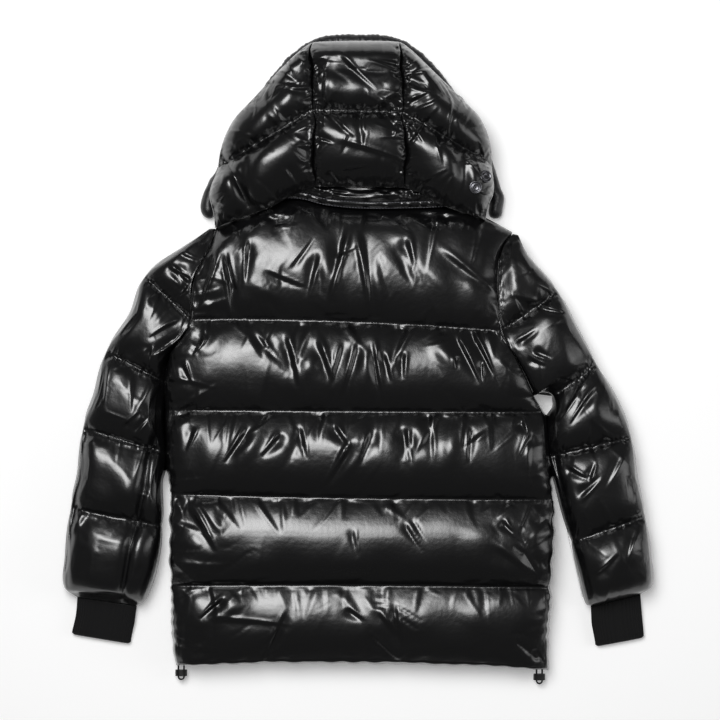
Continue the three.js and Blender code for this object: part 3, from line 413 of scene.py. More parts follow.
def creases(plan, seams, placed, kinds, look, seed):
    """Heights of a panel's creases: the placed ones, and seeded ones of given kinds that start on its seams.

    plan holds the grid's x and y. seams is a list of lines on the grid: their x, their y, the sides on which
    creases lie, and how strong they are. Wide placed creases bow one way and narrow ones the other. In kinds,
    each has its pitch along a seam, its greatest length, half width and depth.
    """
    dice = np.random.default_rng(seed)
    height = np.zeros(plan.shape[:2])

    def crease(x, y, turn, length, width, depth, bow, steep, opening=0.12):
        dx, dy = plan[..., 0] - x, plan[..., 1] - y
        near = (np.abs(dx) < length + 3 * width) & (np.abs(dy) < length + 3 * width)
        along = dx[near] * np.cos(turn) + dy[near] * np.sin(turn)
        across = dy[near] * np.cos(turn) - dx[near] * np.sin(turn) + bow * along * along / length
        height[near] += depth * crease_shape(along, across, length, width, steep, opening)

    for x, y, end_x, end_y, width, depth in placed:
        turn = np.arctan2(end_y - y, end_x - x)
        length = np.hypot(end_x - x, end_y - y) * 1.15
        bow = 0.06 * np.sign(width - 8.5)
        crease(x, y, turn, length, width, abs(depth), bow, np.sign(depth), 0.4)
    for line_x, line_y, sides, strength in seams:
        travelled = distance_along(line_x, line_y)
        for side in sides:
            for pitch, reach, width, depth in kinds:
                at = dice.uniform(2, pitch)
                while at < travelled[-1] - 2:
                    px, qx = np.interp((at, at + 2), travelled, line_x)
                    py, qy = np.interp((at, at + 2), travelled, line_y)
                    straight = np.arctan2(qy - py, qx - px) + side * np.pi / 2
                    turn = straight + np.radians(dice.normal(0, look["askew"]))
                    length = (0.3 + 0.7 * dice.uniform(0, 1) ** 1.6) * reach
                    deep = depth * strength * dice.uniform(0.4, 1) * (1 if side < 0 else look["upward"])
                    steep = dice.choice((-1, 1))
                    wide = width * dice.uniform(0.7, 1.2)
                    bow = dice.normal(0, 0.12)
                    crease(px, py, turn, length, wide, deep, bow, steep)
                    if dice.uniform() < 0.2:
                        # a second dent meets the first at its point, so that the two stand like a V
                        back = turn + dice.uniform(0.3, 0.6) * steep
                        back_x = px + length * np.cos(turn) - length * np.cos(back)
                        back_y = py + length * np.sin(turn) - length * np.sin(back)
                        crease(back_x, back_y, back, length, width * 0.8, deep * 0.9, 0, -steep, 0.35)
                    at += dice.uniform(0.5, 1.5) * pitch
    return height


# Meshes


def place(garment_points):
    """Millimetres in the garment's plan to metres in the CAD frame."""
    return (garment_points + GARMENT_ORIGIN) * MM


def new_mesh(name, vertices, faces, finish):
    """A linked smooth object at the origin from an array of vertices in metres and lists of faces."""
    mesh = bpy.data.meshes.new(name)
    mesh.from_pydata(vertices.reshape(-1, 3).tolist(), [], faces)
    mesh.polygons.foreach_set("use_smooth", np.ones(len(mesh.polygons), bool))
    mesh.materials.append(finish)
    mesh.update()
    obj = bpy.data.objects.new(name, mesh)
    bpy.context.scene.collection.objects.link(obj)
    return obj


def grid_quads(height, width, first=0):
    """Quads of a grid, counter-clockwise where columns run right and rows run up."""
    index = first + np.arange(height * width).reshape(height, width)
    return np.stack([index[:-1, :-1], index[:-1, 1:], index[1:, 1:], index[1:, :-1]], -1).reshape(-1, 4)


def tube_quads(index):
    """Quads of one tube or many. The last axis of the points' numbers runs round, the one before along."""
    beside = np.roll(index, -1, -1)
    corners = [index[..., :-1, :], beside[..., :-1, :], beside[..., 1:, :], index[..., 1:, :]]
    return np.stack(corners, -1).reshape(-1, 4).tolist()


def shell(outer, inner, facing):
    """A closed wall of a fine outer grid, a coarse inner grid and strips of triangles round their edges."""
    height, width = outer.shape[:2]
    step = (height - 1) // (inner.shape[0] - 1)
    fine = np.arange(height * width).reshape(height, width)
    coarse = fine.size + np.arange(inner.shape[0] * inner.shape[1]).reshape(inner.shape[:2])
    faces = grid_quads(height, width).tolist()
    faces += grid_quads(*inner.shape[:2], fine.size)[:, ::-1].tolist()
    for outer_line, inner_line, turned in (
        (fine[0], coarse[0], True),
        (fine[-1], coarse[-1], False),
        (fine[:, 0], coarse[:, 0], False),
        (fine[:, -1], coarse[:, -1], True),
    ):
        k = np.arange(len(outer_line) - 1)
        fan = np.stack([outer_line[k], outer_line[k + 1], inner_line[(k + step // 2) // step]], -1)
        i = np.arange(len(inner_line) - 1)
        link = np.stack([inner_line[i + 1], inner_line[i], outer_line[i * step + step // 2]], -1)
        both = np.concatenate([fan, link])
        faces += (both[:, ::-1] if turned else both).tolist()
    if facing < 0:
        faces = [face[::-1] for face in faces]
    return np.concatenate([outer.reshape(-1, 3), inner.reshape(-1, 3)]), faces


def refined(grid):
    """The grid with a point between every two, on a cubic curve through their four neighbours, both ways."""
    for axis in (0, 1):
        grid = np.moveaxis(grid, axis, 0)
        padded = np.concatenate([2 * grid[:1] - grid[1:2], grid, 2 * grid[-1:] - grid[-2:-1]])
        between = (9 * (padded[1:-2] + padded[2:-1]) - padded[:-3] - padded[3:]) / 16
        twice = np.empty((2 * len(grid) - 1, *grid.shape[1:]))
        twice[::2], twice[1::2] = grid, between
        grid = np.moveaxis(twice, 0, axis)
    return grid


def flat_cut(start, gather):
    """The panel before it was sewn: its rows laid straight, wider by the gather and longer by the ease."""
    across = np.linalg.norm(np.diff(start, axis=1), axis=-1)
    along = np.linalg.norm(np.diff(start, axis=0), axis=-1).mean(axis=1)
    x = np.concatenate([np.zeros((len(start), 1)), np.cumsum(across, axis=1)], axis=1)
    y = np.concatenate([[0], np.cumsum(along)])
    return points((x - x[:, -1:] / 2) * (1 + gather), y[:, None] * (1 + CUT_EASE), 0)


def inflated(start, sewn, facing, look):
    """The cloth of one panel, blown up by Blender's Cloth between its sewn lines.

    The rest shape is the flat cut, wider than the space it is sewn into. Points on sewn lines stay, and no
    other point moves further than most: the distance eases towards it as a hyperbolic tangent. The padding
    lets none sink deeper than dip.
    """
    frames = look["frames"]
    height, width = start.shape[:2]
    mesh = bpy.data.meshes.new("cloth")
    mesh.from_pydata(start.reshape(-1, 3).tolist(), [], grid_quads(height, width).tolist())
    obj = bpy.data.objects.new("cloth", mesh)
    bpy.context.scene.collection.objects.link(obj)
    obj.shape_key_add(name="laid")
    cut = obj.shape_key_add(name="cut")
    cut.data.foreach_set("co", flat_cut(start, look["gather"]).reshape(-1))
    cut.value = 0
    group = obj.vertex_groups.new(name="sewn")
    group.add(np.flatnonzero(sewn).tolist(), 1.0, "ADD")
    cloth = obj.modifiers.new("cloth", "CLOTH")
    cloth.point_cache.frame_start, cloth.point_cache.frame_end = 1, frames
    cloth.collision_settings.use_collision = False
    settings = cloth.settings
    settings.quality = 5
    settings.mass = 0.15
    settings.tension_stiffness = settings.compression_stiffness = 15
    settings.shear_stiffness = 5
    settings.bending_stiffness = 0.02
    settings.air_damping = 1.5
    settings.vertex_group_mass = "sewn"
    settings.use_pressure = True
    settings.uniform_pressure_force = look["pressure"]
    settings.effector_weights.gravity = 0
    settings.rest_shape_key = cut
    for number in range(1, frames + 1):
        bpy.context.scene.frame_set(number)
    evaluated = obj.evaluated_get(bpy.context.evaluated_depsgraph_get())
    settled = np.empty(start.size)
    evaluated.data.vertices.foreach_get("co", settled)
    bpy.data.objects.remove(obj)
    bpy.context.scene.frame_set(1)
    moved = settled.reshape(start.shape) - start
    moved[..., 2] = facing * np.maximum(facing * moved[..., 2], -look["dip"] * MM)
    share = np.maximum(np.linalg.norm(moved, axis=-1, keepdims=True) / (look["most"] * MM), 1e-9)
    return start + moved * np.tanh(share) / share


surfaces = {}  # the fine outer grid of each finished panel, in millimetres in the CAD frame


def surface_point(name, plan):
    """The points of a panel's outer grid nearest to the given plan points, and the way it faces there."""
    grid = surfaces[name]
    flat = grid.reshape(-1, 3)
    nearest = [int(np.argmin(np.hypot(flat[:, 0] - x, flat[:, 1] - y))) for x, y in np.atleast_2d(plan)]
    row, column = np.unravel_index(nearest, grid.shape[:2])
    up = np.clip(row + 2, 0, grid.shape[0] - 1), np.clip(row - 2, 0, grid.shape[0] - 1)
    right = np.clip(column + 2, 0, grid.shape[1] - 1), np.clip(column - 2, 0, grid.shape[1] - 1)
    normal = np.cross(
        grid[row, right[0]] - grid[row, right[1]],
        grid[up[0], column] - grid[up[1], column],
    )
    normal *= np.sign(normal[:, 2:])
    return flat[nearest], normal / np.linalg.norm(normal, axis=-1, keepdims=True)


def padded_panel(name, faces, counts, crowding, facing, look, seed, baffles, placed=(), grooves=()):
    """One quilted panel of the jacket, as a closed padded wall.

    faces gives the outer and inner points for arrays of across and row. counts is the number of grid cells
    across and in each baffle, and baffles how many there are. facing is +1 for a panel that looks up, -1 for
    one that looks down. The blown-up cloth gets its creases, gathers and lengthwise grooves afterwards.
    """
    outer, inner = faces
    columns = eased(counts[0], crowding)
    per = counts[1]
    across, row = np.meshgrid(columns, np.linspace(0, baffles, baffles * per + 1))
    laid = outer(across, row)
    on_line = np.zeros(across.shape, bool)
    on_line[::per] = True
    on_line[:, [0, -1]] = True
    width = np.hypot(*(laid[:, -1, :2] - laid[:, 0, :2]).T)[:, None]
    beside = np.minimum(across, 1 - across) * width
    away = smoothstep(np.abs((row + 0.5) % 1 - 0.5), 0, 0.15) * smoothstep(beside, 0, 30)
    laid[..., 2] += facing * away * look["noise"] * soft_noise(across.shape, 10, 8, seed)
    settled = inflated(place(laid), on_line, facing, look)
    fine = refined(settled) / MM
    seams = []
    for number in range(1, baffles):
        seams.append((*fine[2 * number * per, :, :2].T, (1, -1), look["rows"][number]))
    seams.append((*fine[0, :, :2].T, (1,), look["rows"][0]))
    seams.append((*fine[-1, :, :2].T, (-1,), look["rows"][baffles]))
    seams.append((*fine[:, 0, :2].T, (-1,), look["sides"]))
    seams.append((*fine[:, -1, :2].T, (1,), look["sides"]))
    to_frame = np.array([*GARMENT_ORIGIN[:2], *GARMENT_ORIGIN[:2], 0, 0])
    placed_here = [np.array(crease) + to_frame for crease in placed]
    relief = creases(fine, seams, placed_here, look["creases"], look, seed)
    fine_row = np.linspace(0, baffles, fine.shape[0])[:, None]
    fine_columns = refined(np.stack([columns, columns])[..., None])[0, :, 0]
    fine_width = refined(np.repeat(width, 2, 1)[..., None])[:, :1, 0]
    edge = np.minimum(fine_columns, 1 - fine_columns)[None, :] * fine_width
    from_line = np.abs((fine_row + 0.5) % 1 - 0.5)
    relief = relief * smoothstep(from_line, 0, 0.05) * smoothstep(edge, 0, 8)
    gathers = creases(fine, seams, (), look["gathers"], {**look, "upward": 1}, seed + 7)
    relief += gathers * smoothstep(from_line, 0, 0.015) * smoothstep(edge, 0, 2)
    for groove in grooves:
        relief -= groove_depth(fine, np.array(groove) + GARMENT_ORIGIN[:2]) * smoothstep(edge, 0, 8)
    fine[..., 2] = np.maximum(fine[..., 2] + facing * relief, LOWEST)
    coarse_rows = np.linspace(0, baffles, 2 * baffles * per // INNER_STEP + 1)
    coarse = np.meshgrid(fine_columns[::INNER_STEP], coarse_rows)
    vertices, polygons = shell(fine * MM, place(inner(*coarse)), facing)
    obj = new_mesh(name, vertices, polygons, material("shell"))
    outwards(obj)
    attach(obj, GARMENT)
    surfaces[name] = fine
    return obj


def groove_depth(plan, line):
    """Depth of a lengthwise seam: a narrow valley along a line of plan points, 0 past its ends."""
    nearest = np.full(plan.shape[:2], 1e9)
    for start, end in zip(line[:-1], line[1:]):
        run = end - start
        share = np.clip(((plan[..., :2] - start) @ run) / (run @ run), 0, 1)
        off = plan[..., :2] - start - share[..., None] * run
        nearest = np.minimum(nearest, np.linalg.norm(off, axis=-1))
    return GROOVE_DEPTH * np.exp(-((nearest / GROOVE_WIDTH) ** 1.3))


# Materials


def linear(hex_colour):
    """An sRGB hex value as linear RGBA."""
    channels = np.array([int(hex_colour[i : i + 2], 16) for i in (1, 3, 5)]) / 255
    values = np.where(channels <= 0.04045, channels / 12.92, ((channels + 0.055) / 1.055) ** 2.4)
    return (*values.tolist(), 1.0)


def add(tree, kind, links=(), **settings):
    """Adds a node, sets its properties and unlinked sockets, and links each (socket, node, output)."""
    node = tree.nodes.new(kind)
    for key, value in settings.items():
        if hasattr(node, key):
            setattr(node, key, value)
        else:
            node.inputs[key.replace("_", " ")].default_value = value
    for socket, source, output in links:
        tree.links.new(source.outputs[output], node.inputs[socket])
    return node


def principled(name, **sockets):
    """A material with one Principled shader, and its tree."""
    made = bpy.data.materials.new(name)
    made.use_nodes = True
    tree = made.node_tree
    tree.nodes.clear()
    shader = add(tree, "ShaderNodeBsdfPrincipled")
    for socket, value in sockets.items():
        shader.inputs[socket.replace("_", " ")].default_value = value
    add(tree, "ShaderNodeOutputMaterial", links=[("Surface", shader, "BSDF")])
    return made, tree, shader


def with_bump(finish, kind, strength, distance, height="Fac", **pattern):
    """The material of a finish, with one texture in the object's own space as a bump on its shader."""
    made, tree, shader = finish
    where = add(tree, "ShaderNodeTexCoord")
    texture = add(tree, kind, [("Vector", where, "Object")], **pattern)
    bump = add(tree, "ShaderNodeBump", [("Height", texture, height)], Strength=strength, Distance=distance)
    tree.links.new(bump.outputs["Normal"], shader.inputs["Normal"])
    return made


def coated_nylon():
    """Plain-woven nylon with a hot-rolled resin coat: a black film, nearly a mirror, with a fine crinkle."""
    made, tree, shader = principled(
        "coated_nylon", Base_Color=linear("#080809"), Roughness=0.3, IOR=1.5,
        Coat_Weight=0.4, Coat_Roughness=0.07,
    )
    where = [("Vector", add(tree, "ShaderNodeTexCoord"), "Object")]
    # crinkles about 7 mm apart, and finer ones about 2.5 mm apart
    wide = add(tree, "ShaderNodeTexNoise", where, Scale=140.0, Detail=2.0, Roughness=0.5)
    fine = add(tree, "ShaderNodeTexNoise", where, Scale=400.0, Detail=1.0, Roughness=0.5)
    first = add(tree, "ShaderNodeBump", [("Height", wide, "Fac")], Strength=0.07, Distance=0.004)
    above = [("Height", fine, "Fac"), ("Normal", first, "Normal")]
    bump = add(tree, "ShaderNodeBump", above, Strength=0.03, Distance=0.001)
    tree.links.new(bump.outputs["Normal"], shader.inputs["Normal"])
    return made


def rib_knit():
    """Two-by-two rib of black polyester yarn with elastane, matt, with loops 1.4 mm apart along each rib."""
    knit = principled(
        "rib_knit", Base_Color=linear("#0b0b0c"), Roughness=0.95, IOR=1.4,
        Sheen_Weight=0.05, Sheen_Roughness=0.5,
    )
    return with_bump(knit, "ShaderNodeTexNoise", 0.6, 0.0008, Scale=700.0, Detail=2.0, Roughness=0.6)


def woven_tape():
    """Polyester tape in a plain weave, its threads about 0.5 mm apart, drawn at 1 mm so that they show."""
    tape = principled("woven_tape", Base_Color=linear("#17171a"), Roughness=0.75, IOR=1.5)
    return with_bump(tape, "ShaderNodeTexChecker", 0.3, 0.0003, Scale=1000.0)


def gunmetal():
    """Zinc alloy, barrel-polished and plated dark grey, with a faint haze from handling."""
    made, tree, shader = principled("gunmetal", Base_Color=linear("#626266"), Roughness=0.3, Metallic=1.0)
    where = [("Vector", add(tree, "ShaderNodeTexCoord"), "Object")]
    haze = add(tree, "ShaderNodeTexNoise", where, Scale=900.0, Detail=3.0, Roughness=0.6)
    rough = add(tree, "ShaderNodeMapRange", [("Value", haze, "Fac")], To_Min=0.2, To_Max=0.4)
    tree.links.new(rough.outputs["Result"], shader.inputs["Roughness"])
    return made


def moulded_plastic():
    """Injection-moulded black acetal with a faint orange peel."""
    plastic = principled("moulded_plastic", Base_Color=linear("#141414"), Roughness=0.35, IOR=1.48)
    return with_bump(plastic, "ShaderNodeTexNoise", 0.1, 0.0005, Scale=600.0, Detail=1.0, Roughness=0.5)


def braided_cord():
    """Elastic cord under a black polyester braid, its strands about 0.8 mm apart."""
    cord = principled("braided_cord", Base_Color=linear("#111113"), Roughness=0.7, IOR=1.5)
    return with_bump(cord, "ShaderNodeTexVoronoi", 0.5, 0.0004, "Distance", Scale=1250.0)


def sewing_thread(name="sewing_thread", colour="#141416"):
    """Twisted polyester thread, a little lighter than the cloth because it is round and catches the light."""
    twisted = principled(name, Base_Color=linear(colour), Roughness=0.8, IOR=1.3)
    return with_bump(twisted, "ShaderNodeTexNoise", 0.3, 0.0002, Scale=2500.0, Detail=1.0, Roughness=0.5)


def band_thread_painted_highlight():
    """The thick thread of the neck band's two rows of stitches, black thread painted pale grey as a painted
    highlight of its gloss.
    """
    return sewing_thread("band_thread_painted_highlight", "#5c5c60")


def satin_lining():
    """Warp-faced polyester lining, soft and dark grey, with puckers about 3 mm apart."""
    satin = principled(
        "satin_lining", Base_Color=linear("#1b1b1d"), Roughness=0.42, IOR=1.5,
        Sheen_Weight=0.15, Sheen_Roughness=0.4,
    )
    return with_bump(satin, "ShaderNodeTexNoise", 0.35, 0.0015, Scale=330.0, Detail=2.0, Roughness=0.55)


def lit_acrylic():
    """A matt white acrylic sheet, lit evenly from below, as the floor of a product table."""
    made, _, _ = principled(
        "lit_acrylic", Base_Color=linear("#f0f0f0"), Roughness=0.9, IOR=1.45,
        Emission_Color=linear("#ffffff"), Emission_Strength=0.24,
    )
    return made


MAKERS = {
    "shell": coated_nylon,
    "rib_knit": rib_knit,
    "zip_tape": woven_tape,
    "dark_metal": gunmetal,
    "black_plastic": moulded_plastic,
    "cord": braided_cord,
    "thread": sewing_thread,
    "band_thread_painted_highlight": band_thread_painted_highlight,
    "lining": satin_lining,
    "floor": lit_acrylic,
}
made_materials = {}


def material(slot):
    """The material of a slot, made once."""
    if slot not in made_materials:
        made_materials[slot] = MAKERS[slot]()
    return made_materials[slot]


# The faces of each panel


def back_faces():
    """The outer face has the quilting, the puff of each baffle and the largest folds. The inner is plain."""

    def outer(across, row):
        x, y, width = body_plan(across, row, back_neck)
        # the lowest baffle stays full down to the hem, and the yoke keeps more height where its seam is lower
        up = np.where(row >= BAFFLES, 0, row % 1)
        up = up + BACK_SLUMP * (np.abs(row - 1.5) < 0.5) * np.sin(np.pi * up)
        along = np.where(row < 0.5, swell(row, 9), lens(up))
        puff = along * edge_rise(np.minimum(across, 1 - across) * width, EDGE_ROUNDING)
        full = sizes().back_puff / MM * BACK_FILL - SEAM_LIFT * (1 - smoothstep(row, 4.4, BAFFLES))
        puff = puff * (full * (1 + HEM_FILL * np.clip(0.9 - row, 0, 1)) + FOLD_SHARE * folds_at(x, y))
        z = body_at["middle_z"](row) + LAYER_GAP / 2 + body_seam_height(across, row) + np.maximum(puff, 0)
        edge_x = x + side_bulge(across, row, y) + edge_waves(across, row, y)
        return points(edge_x, y + hem_waves(x, row), z)

    def inner(across, row):
        x, y, _ = body_plan(across, row, back_neck)
        y = y + SEAM_ALLOWANCE * smoothstep(row, 4.9, BAFFLES)
        return points(x, y, body_at["middle_z"](row) + LAYER_GAP / 2)

    return outer, inner


def front_faces(side):
    """As the back, but downward, from the side seam to the zip, and flat where it rests."""
    left = side == "left"

    def plan(column, row):
        across = column / 2 if left else 1 - column / 2
        _, y, _ = body_plan(across, row, front_neck)
        edge_x, _, _ = body_plan(np.full_like(column, 0.0 if left else 1.0), row, front_neck)
        zip_x = CENTRE_LINE + (-1 if left else 1) * ZIP_EDGE
        return lerp(edge_x, zip_x, column), y, 2 * np.abs(zip_x - edge_x), across

    def outer(column, row):
        x, y, width, across = plan(column, row)
        beside_zip = swell_from((1 - column) * width / 2, EDGE_ROUNDING / 2)
        puff = lens(row % 1) * swell_from(np.minimum(across, 1 - across) * width, EDGE_ROUNDING)
        puff = puff * sizes().front_puff / MM * beside_zip
        z = body_at["middle_z"](row) - LAYER_GAP / 2 - body_seam_height(across, row) - puff
        edge_x = x + side_bulge(across, row, y) + edge_waves(across, row, y)
        return points(edge_x, y + hem_waves(x, row), np.maximum(z, LOWEST))

    def inner(column, row):
        x, y, _, _ = plan(column, row)
        return points(x, y, body_at["middle_z"](row) - LAYER_GAP / 2)

    return outer, inner


def sleeve_faces(side, facing):
    """A sleeve's upper (+1) or under (-1) panel, across from its outer to its inner edge."""
    sign = -1 if side == "left" else 1
    at = sleeve_at[side]

    def edges(row):
        outer_x, outer_y, inner_x, inner_y = (at[name](row) for name in EDGE_COLUMNS)
        hole_row = np.maximum(BAFFLES - row, UNDERARM[side])
        hole_x, hole_y, _ = body_plan(np.full_like(row, 0.0 if sign < 0 else 1.0), hole_row, back_neck)
        past = smoothstep(row, BAFFLES - UNDERARM[side], 5.2 - UNDERARM[side])
        inner_x = lerp(hole_x + sign * JOIN_GAP, inner_x, past)
        return outer_x, outer_y, inner_x, lerp(hole_y, inner_y, past)

    def plan(across, row):
        outer_x, outer_y, inner_x, inner_y = edges(row)
        width = np.hypot(outer_x - inner_x, outer_y - inner_y)
        return lerp(outer_x, inner_x, across), lerp(outer_y, inner_y, across), width

    def outer(across, row):
        x, y, width = plan(across, row)
        hole = armhole_rise(side, BAFFLES - row)
        rise = at["rise"](row)
        girth = swell(across, 2.6 if facing > 0 else 2.9)
        puff = at["puff"](row) * lens(row % 1)
        edge = lerp(SEAM_EDGE, lerp(SEAM_EDGE, rise + ARMHOLE_LIFT, hole), across)
        lift = (SLEEVE_LIFT if facing > 0 else 0) * np.clip(BAFFLES - row, 0, 1) * np.clip(row + 0.3, 0, 1)
        rise = rise + lift
        free = np.where(across < 0.5, 1, np.clip((row - BAFFLES + UNDERARM[side]) / 0.3, 0, 1))
        pressed = touch(y, sign < 0) * (across > 0.5)
        out = np.where(across < 0.5, 1.8 * SIDE_BULGE, lerp(SIDE_BULGE, TOUCH_BULGE, pressed))
        arch = lerp(puff, at["puff"](row), PRESSED * pressed)
        bulge = (out * arch - np.where(across < 0.5, 2, 0)) * free * (1 - swell(across, 8))
        bulge = bulge * np.where(across < 0.5, sign, -sign)
        full = sizes().sleeve_puff / MM * SLEEVE_FILL[facing] - lift
        above = LAYER_GAP / 2 + lerp(edge, rise, swell(across, 3)) + full * puff * girth
        return points(x + bulge, y, np.maximum(at["middle_z"](row) + facing * above, LOWEST))

    def inner(across, row):
        x, y, _ = plan(across, row)
        return points(x, y, at["middle_z"](row) + facing * LAYER_GAP / 2)

    return outer, inner


def hood_faces(panel):
    """The hood's dome plus the puff of each panel, with the tuck that runs from the cheek to the nape."""

    def seam(column, row):
        at = {name: read(row) for name, read in hood_at.items()}
        left_x = at["seam_left_x"] + HOOD_SEAM_WAVE * (np.sin(9 * row + 1) + 0.6 * np.sin(17 * row))
        right_x = at["seam_right_x"] + HOOD_SEAM_WAVE * (np.sin(8 * row + 4) + 0.6 * np.sin(19 * row))
        seam_share = (right_x - left_x) / (at["right_x"] - at["left_x"])
        gap = JOIN_GAP / 2 if panel == "middle" else -JOIN_GAP / 2
        left = (left_x + gap, at["seam_left_y"])
        right = (right_x - gap, at["seam_right_y"])
        if panel == "middle":
            x, y = lerp(left[0], right[0], column), lerp(left[1], right[1], column)
            from_middle = np.abs(2 * column - 1) * seam_share
        else:
            share = (1 - column if panel == "left" else column) ** 0.85
            near = left if panel == "left" else right
            x, y = lerp(near[0], at[panel + "_x"], share), lerp(near[1], at[panel + "_y"], share)
            from_middle = lerp(seam_share, 1, share)
        power = at["round"] + 0.8
        dome = (1 - np.clip(from_middle, 0, 1) ** power) ** (1 / power)
        rim = smoothstep(from_middle, 0.8, 1) * smoothstep(row, 0.15, 0.5) * (1 - smoothstep(row, 1.45, 1.8))
        over = lerp(0.45, 0.85, smoothstep(row, 0.8, 1.2))
        out = HOOD_RIM_COVER * rim * over * (0.8 + 0.2 * swell(row % 1, 2))
        away = np.hypot(x, (y - HOOD_MIDDLE_Y) * 0.6)
        out_x = x + out * x / away
        out_y = y + out * (y - HOOD_MIDDLE_Y) * 0.6 / away
        return points(out_x, out_y, lerp(HOOD_RIM_Z + HOOD_WALL, at["roof"], dome))

    def outer(column, row):
        wall = seam(column, row)
        side = 1 - column if panel == "left" else column
        lift = 0.35 if panel == "middle" else 0.35 * (1 - smoothstep(side, 0, 0.3))
        across = lerp(lift, 1, swell(column, 2.6) if panel == "middle" else swell(side, 2.3))
        along = np.where(row > 1.5, swell(row - 1, 4), lens(row % 1))
        from_tuck = (side - HOOD_TUCK["at"]) / HOOD_TUCK["width"]
        tuck = 0 if panel == "middle" else np.where(row > 1, 0, HOOD_TUCK["depth"] * np.exp(-(from_tuck**2)))
        wall[..., 2] += np.maximum(sizes().hood_puff / MM * across - tuck, 0) * along
        beside_middle = 1 if panel == "middle" else 1 - smoothstep(side, 0.2, 1)
        brow = smoothstep(row, 1.45, 1.8) * (1 - smoothstep(row, 1.93, HOOD_BAFFLES))
        wall[..., 2] += BROW_FILL * brow * beside_middle
        if panel != "middle":
            wall[..., 1] -= HOOD_OVERHANG * smoothstep(side, 0.1, 0.4) * (1 - smoothstep(row, 0, 0.4))
        return wall

    def inner(column, row):
        wall = seam(column, row)
        wall[..., 2] -= HOOD_WALL
        if panel != "middle":
            beside = 1 - smoothstep(1 - column if panel == "left" else column, 0, 0.1)
            wall[..., 0] += (1 if panel == "left" else -1) * SEAM_ALLOWANCE * beside
        return wall

    return outer, inner


def collar_point(column, row, inset, slit):
    """The collar's flattened ring: a superellipse across, its foot on the neck line, from zip to zip."""
    turn = np.radians(-90 - 360 * column)
    out = np.sign(np.cos(turn)) * np.abs(np.cos(turn)) ** (2 / COLLAR_POWER)
    lift = np.sign(np.sin(turn)) * np.abs(np.sin(turn)) ** (2 / COLLAR_POWER)
    reach = (COLLAR_HALF_WIDTH - inset) * (1 - COLLAR_TAPER * row) * out
    beside_zip = (lift < 0) & (np.abs(reach) < ZIP_EDGE)
    x = CENTRE_LINE + np.where(beside_zip, np.where(column < 0.5, -1, 1) * ZIP_EDGE, reach)
    across = (x - LEFT_EDGE["x"][-1]) / (RIGHT_EDGE["x"][-1] - LEFT_EDGE["x"][-1])
    bottom = lerp(front_neck(across), back_neck(across), smoothstep(lift, -0.7, -0.05))
    height = LAYER_GAP / 2 if slit else lerp(SEAM_RISE, COLLAR_RISE, swell_from(row * COLLAR_HEIGHT, 22))
    clear = JOIN_GAP * (1.5 + 2 * np.abs(out) ** 8)
    return points(x, bottom + clear + COLLAR_HEIGHT * row, BODY["middle_z"][-1] + height * lift)


# What a user would change


class JacketSizes(bpy.types.PropertyGroup):
    """Sizes of the padded pieces."""

    back_puff: bpy.props.FloatProperty(
        name="Back puff",
        description="Height of a back baffle above its quilting lines",
        default=0.033,
        unit="LENGTH",
    )
    front_puff: bpy.props.FloatProperty(
        name="Front puff",
        description="Height of a front baffle below its quilting lines",
        default=0.038,
        unit="LENGTH",
    )
    sleeve_puff: bpy.props.FloatProperty(
        name="Sleeve puff",
        description="Height of a sleeve baffle above its quilting lines",
        default=0.029,
        unit="LENGTH",
    )
    hood_puff: bpy.props.FloatProperty(
        name="Hood puff",
        description="Height of a hood baffle above its seams",
        default=0.024,
        unit="LENGTH",
    )
    stitch_length: bpy.props.FloatProperty(
        name="Stitch length",
        description="From one needle hole to the next",
        default=0.0042,
        unit="LENGTH",
    )
    thread_radius: bpy.props.FloatProperty(
        name="Thread radius",
        description="Half the thickness of the sewing thread",
        default=0.00028,
        unit="LENGTH",
    )


class StudioSettings(bpy.types.PropertyGroup):
    """The floor, the lights and the camera."""

    camera_height: bpy.props.FloatProperty(
        name="Camera height",
        description="Height of the camera above the floor",
        default=3.2,
        unit="LENGTH",
    )
    view_width: bpy.props.FloatProperty(
        name="View width",
        description="Width of the picture at the jacket's mid height",
        default=1.0224,
        unit="LENGTH",
    )
    key_colour: bpy.props.FloatVectorProperty(
        name="Key light",
        description="Colour of the large soft box",
        default=(1.0, 1.0, 1.0),
        subtype="COLOR",
    )


def sizes():
    """The sizes that the user sees in the sidebar."""
    return bpy.context.scene.jacket_sizes


# gather is how much wider a panel is cut than it lies. pressure and frames are the Cloth's. most is how far
# a point may move in all, and dip how far it may sink. fill says how tight the down is, and noise how high
# its lumps are. Creases, and the gathers right beside the thread, each have their pitch along a seam, their
# greatest length, half width and depth, and lean by about askew degrees. rows and sides say how strong they
# are along each quilting line and along the edges, and upward how much of that those above a line have.
PADDING = {
    "gather": 0.05,
    "pressure": 4.0,
    "frames": 26,
    "most": 12,
    "dip": 12,
    "fill": 0.8,
    "noise": 1.2,
    "askew": 28,
    "upward": 0.4,
    "creases": ((52, 100, 12, 5.4), (26, 60, 7, 2.8)),
    "gathers": ((6, 14, 2.6, 1.1),),
}
BACK_LOOK = {**PADDING, "rows": (0.3, 0.35, 0.5, 0.75, 0.75, 0.6), "sides": 0.6}
FRONT_LOOK = {**PADDING, "frames": 12, "rows": (0.5,) * (BAFFLES + 1), "sides": 0.6}
SLEEVE_LOOK = {
    **PADDING,
    "dip": 0.6,
    "rows": (0.6, 0.8, 0.9, 0.8, 0.8, 0.6),
    "sides": 0.45,
    "creases": ((56, 75, 10, 4.2), (36, 44, 6, 2.2)),
    "gathers": ((6, 15, 3.0, 1.9),),
}
SLEEVE_UNDER_LOOK = {**SLEEVE_LOOK, "frames": 14}
HOOD_LOOK = {
    **PADDING,
    "rows": (0.9, 1.0, 0.6),
    "sides": 1.2,
    "upward": 1.0,
    "creases": ((34, 62, 8, 3.6), (17, 38, 5, 2.2)),
    "gathers": ((6, 17, 3.0, 2.0),),
}

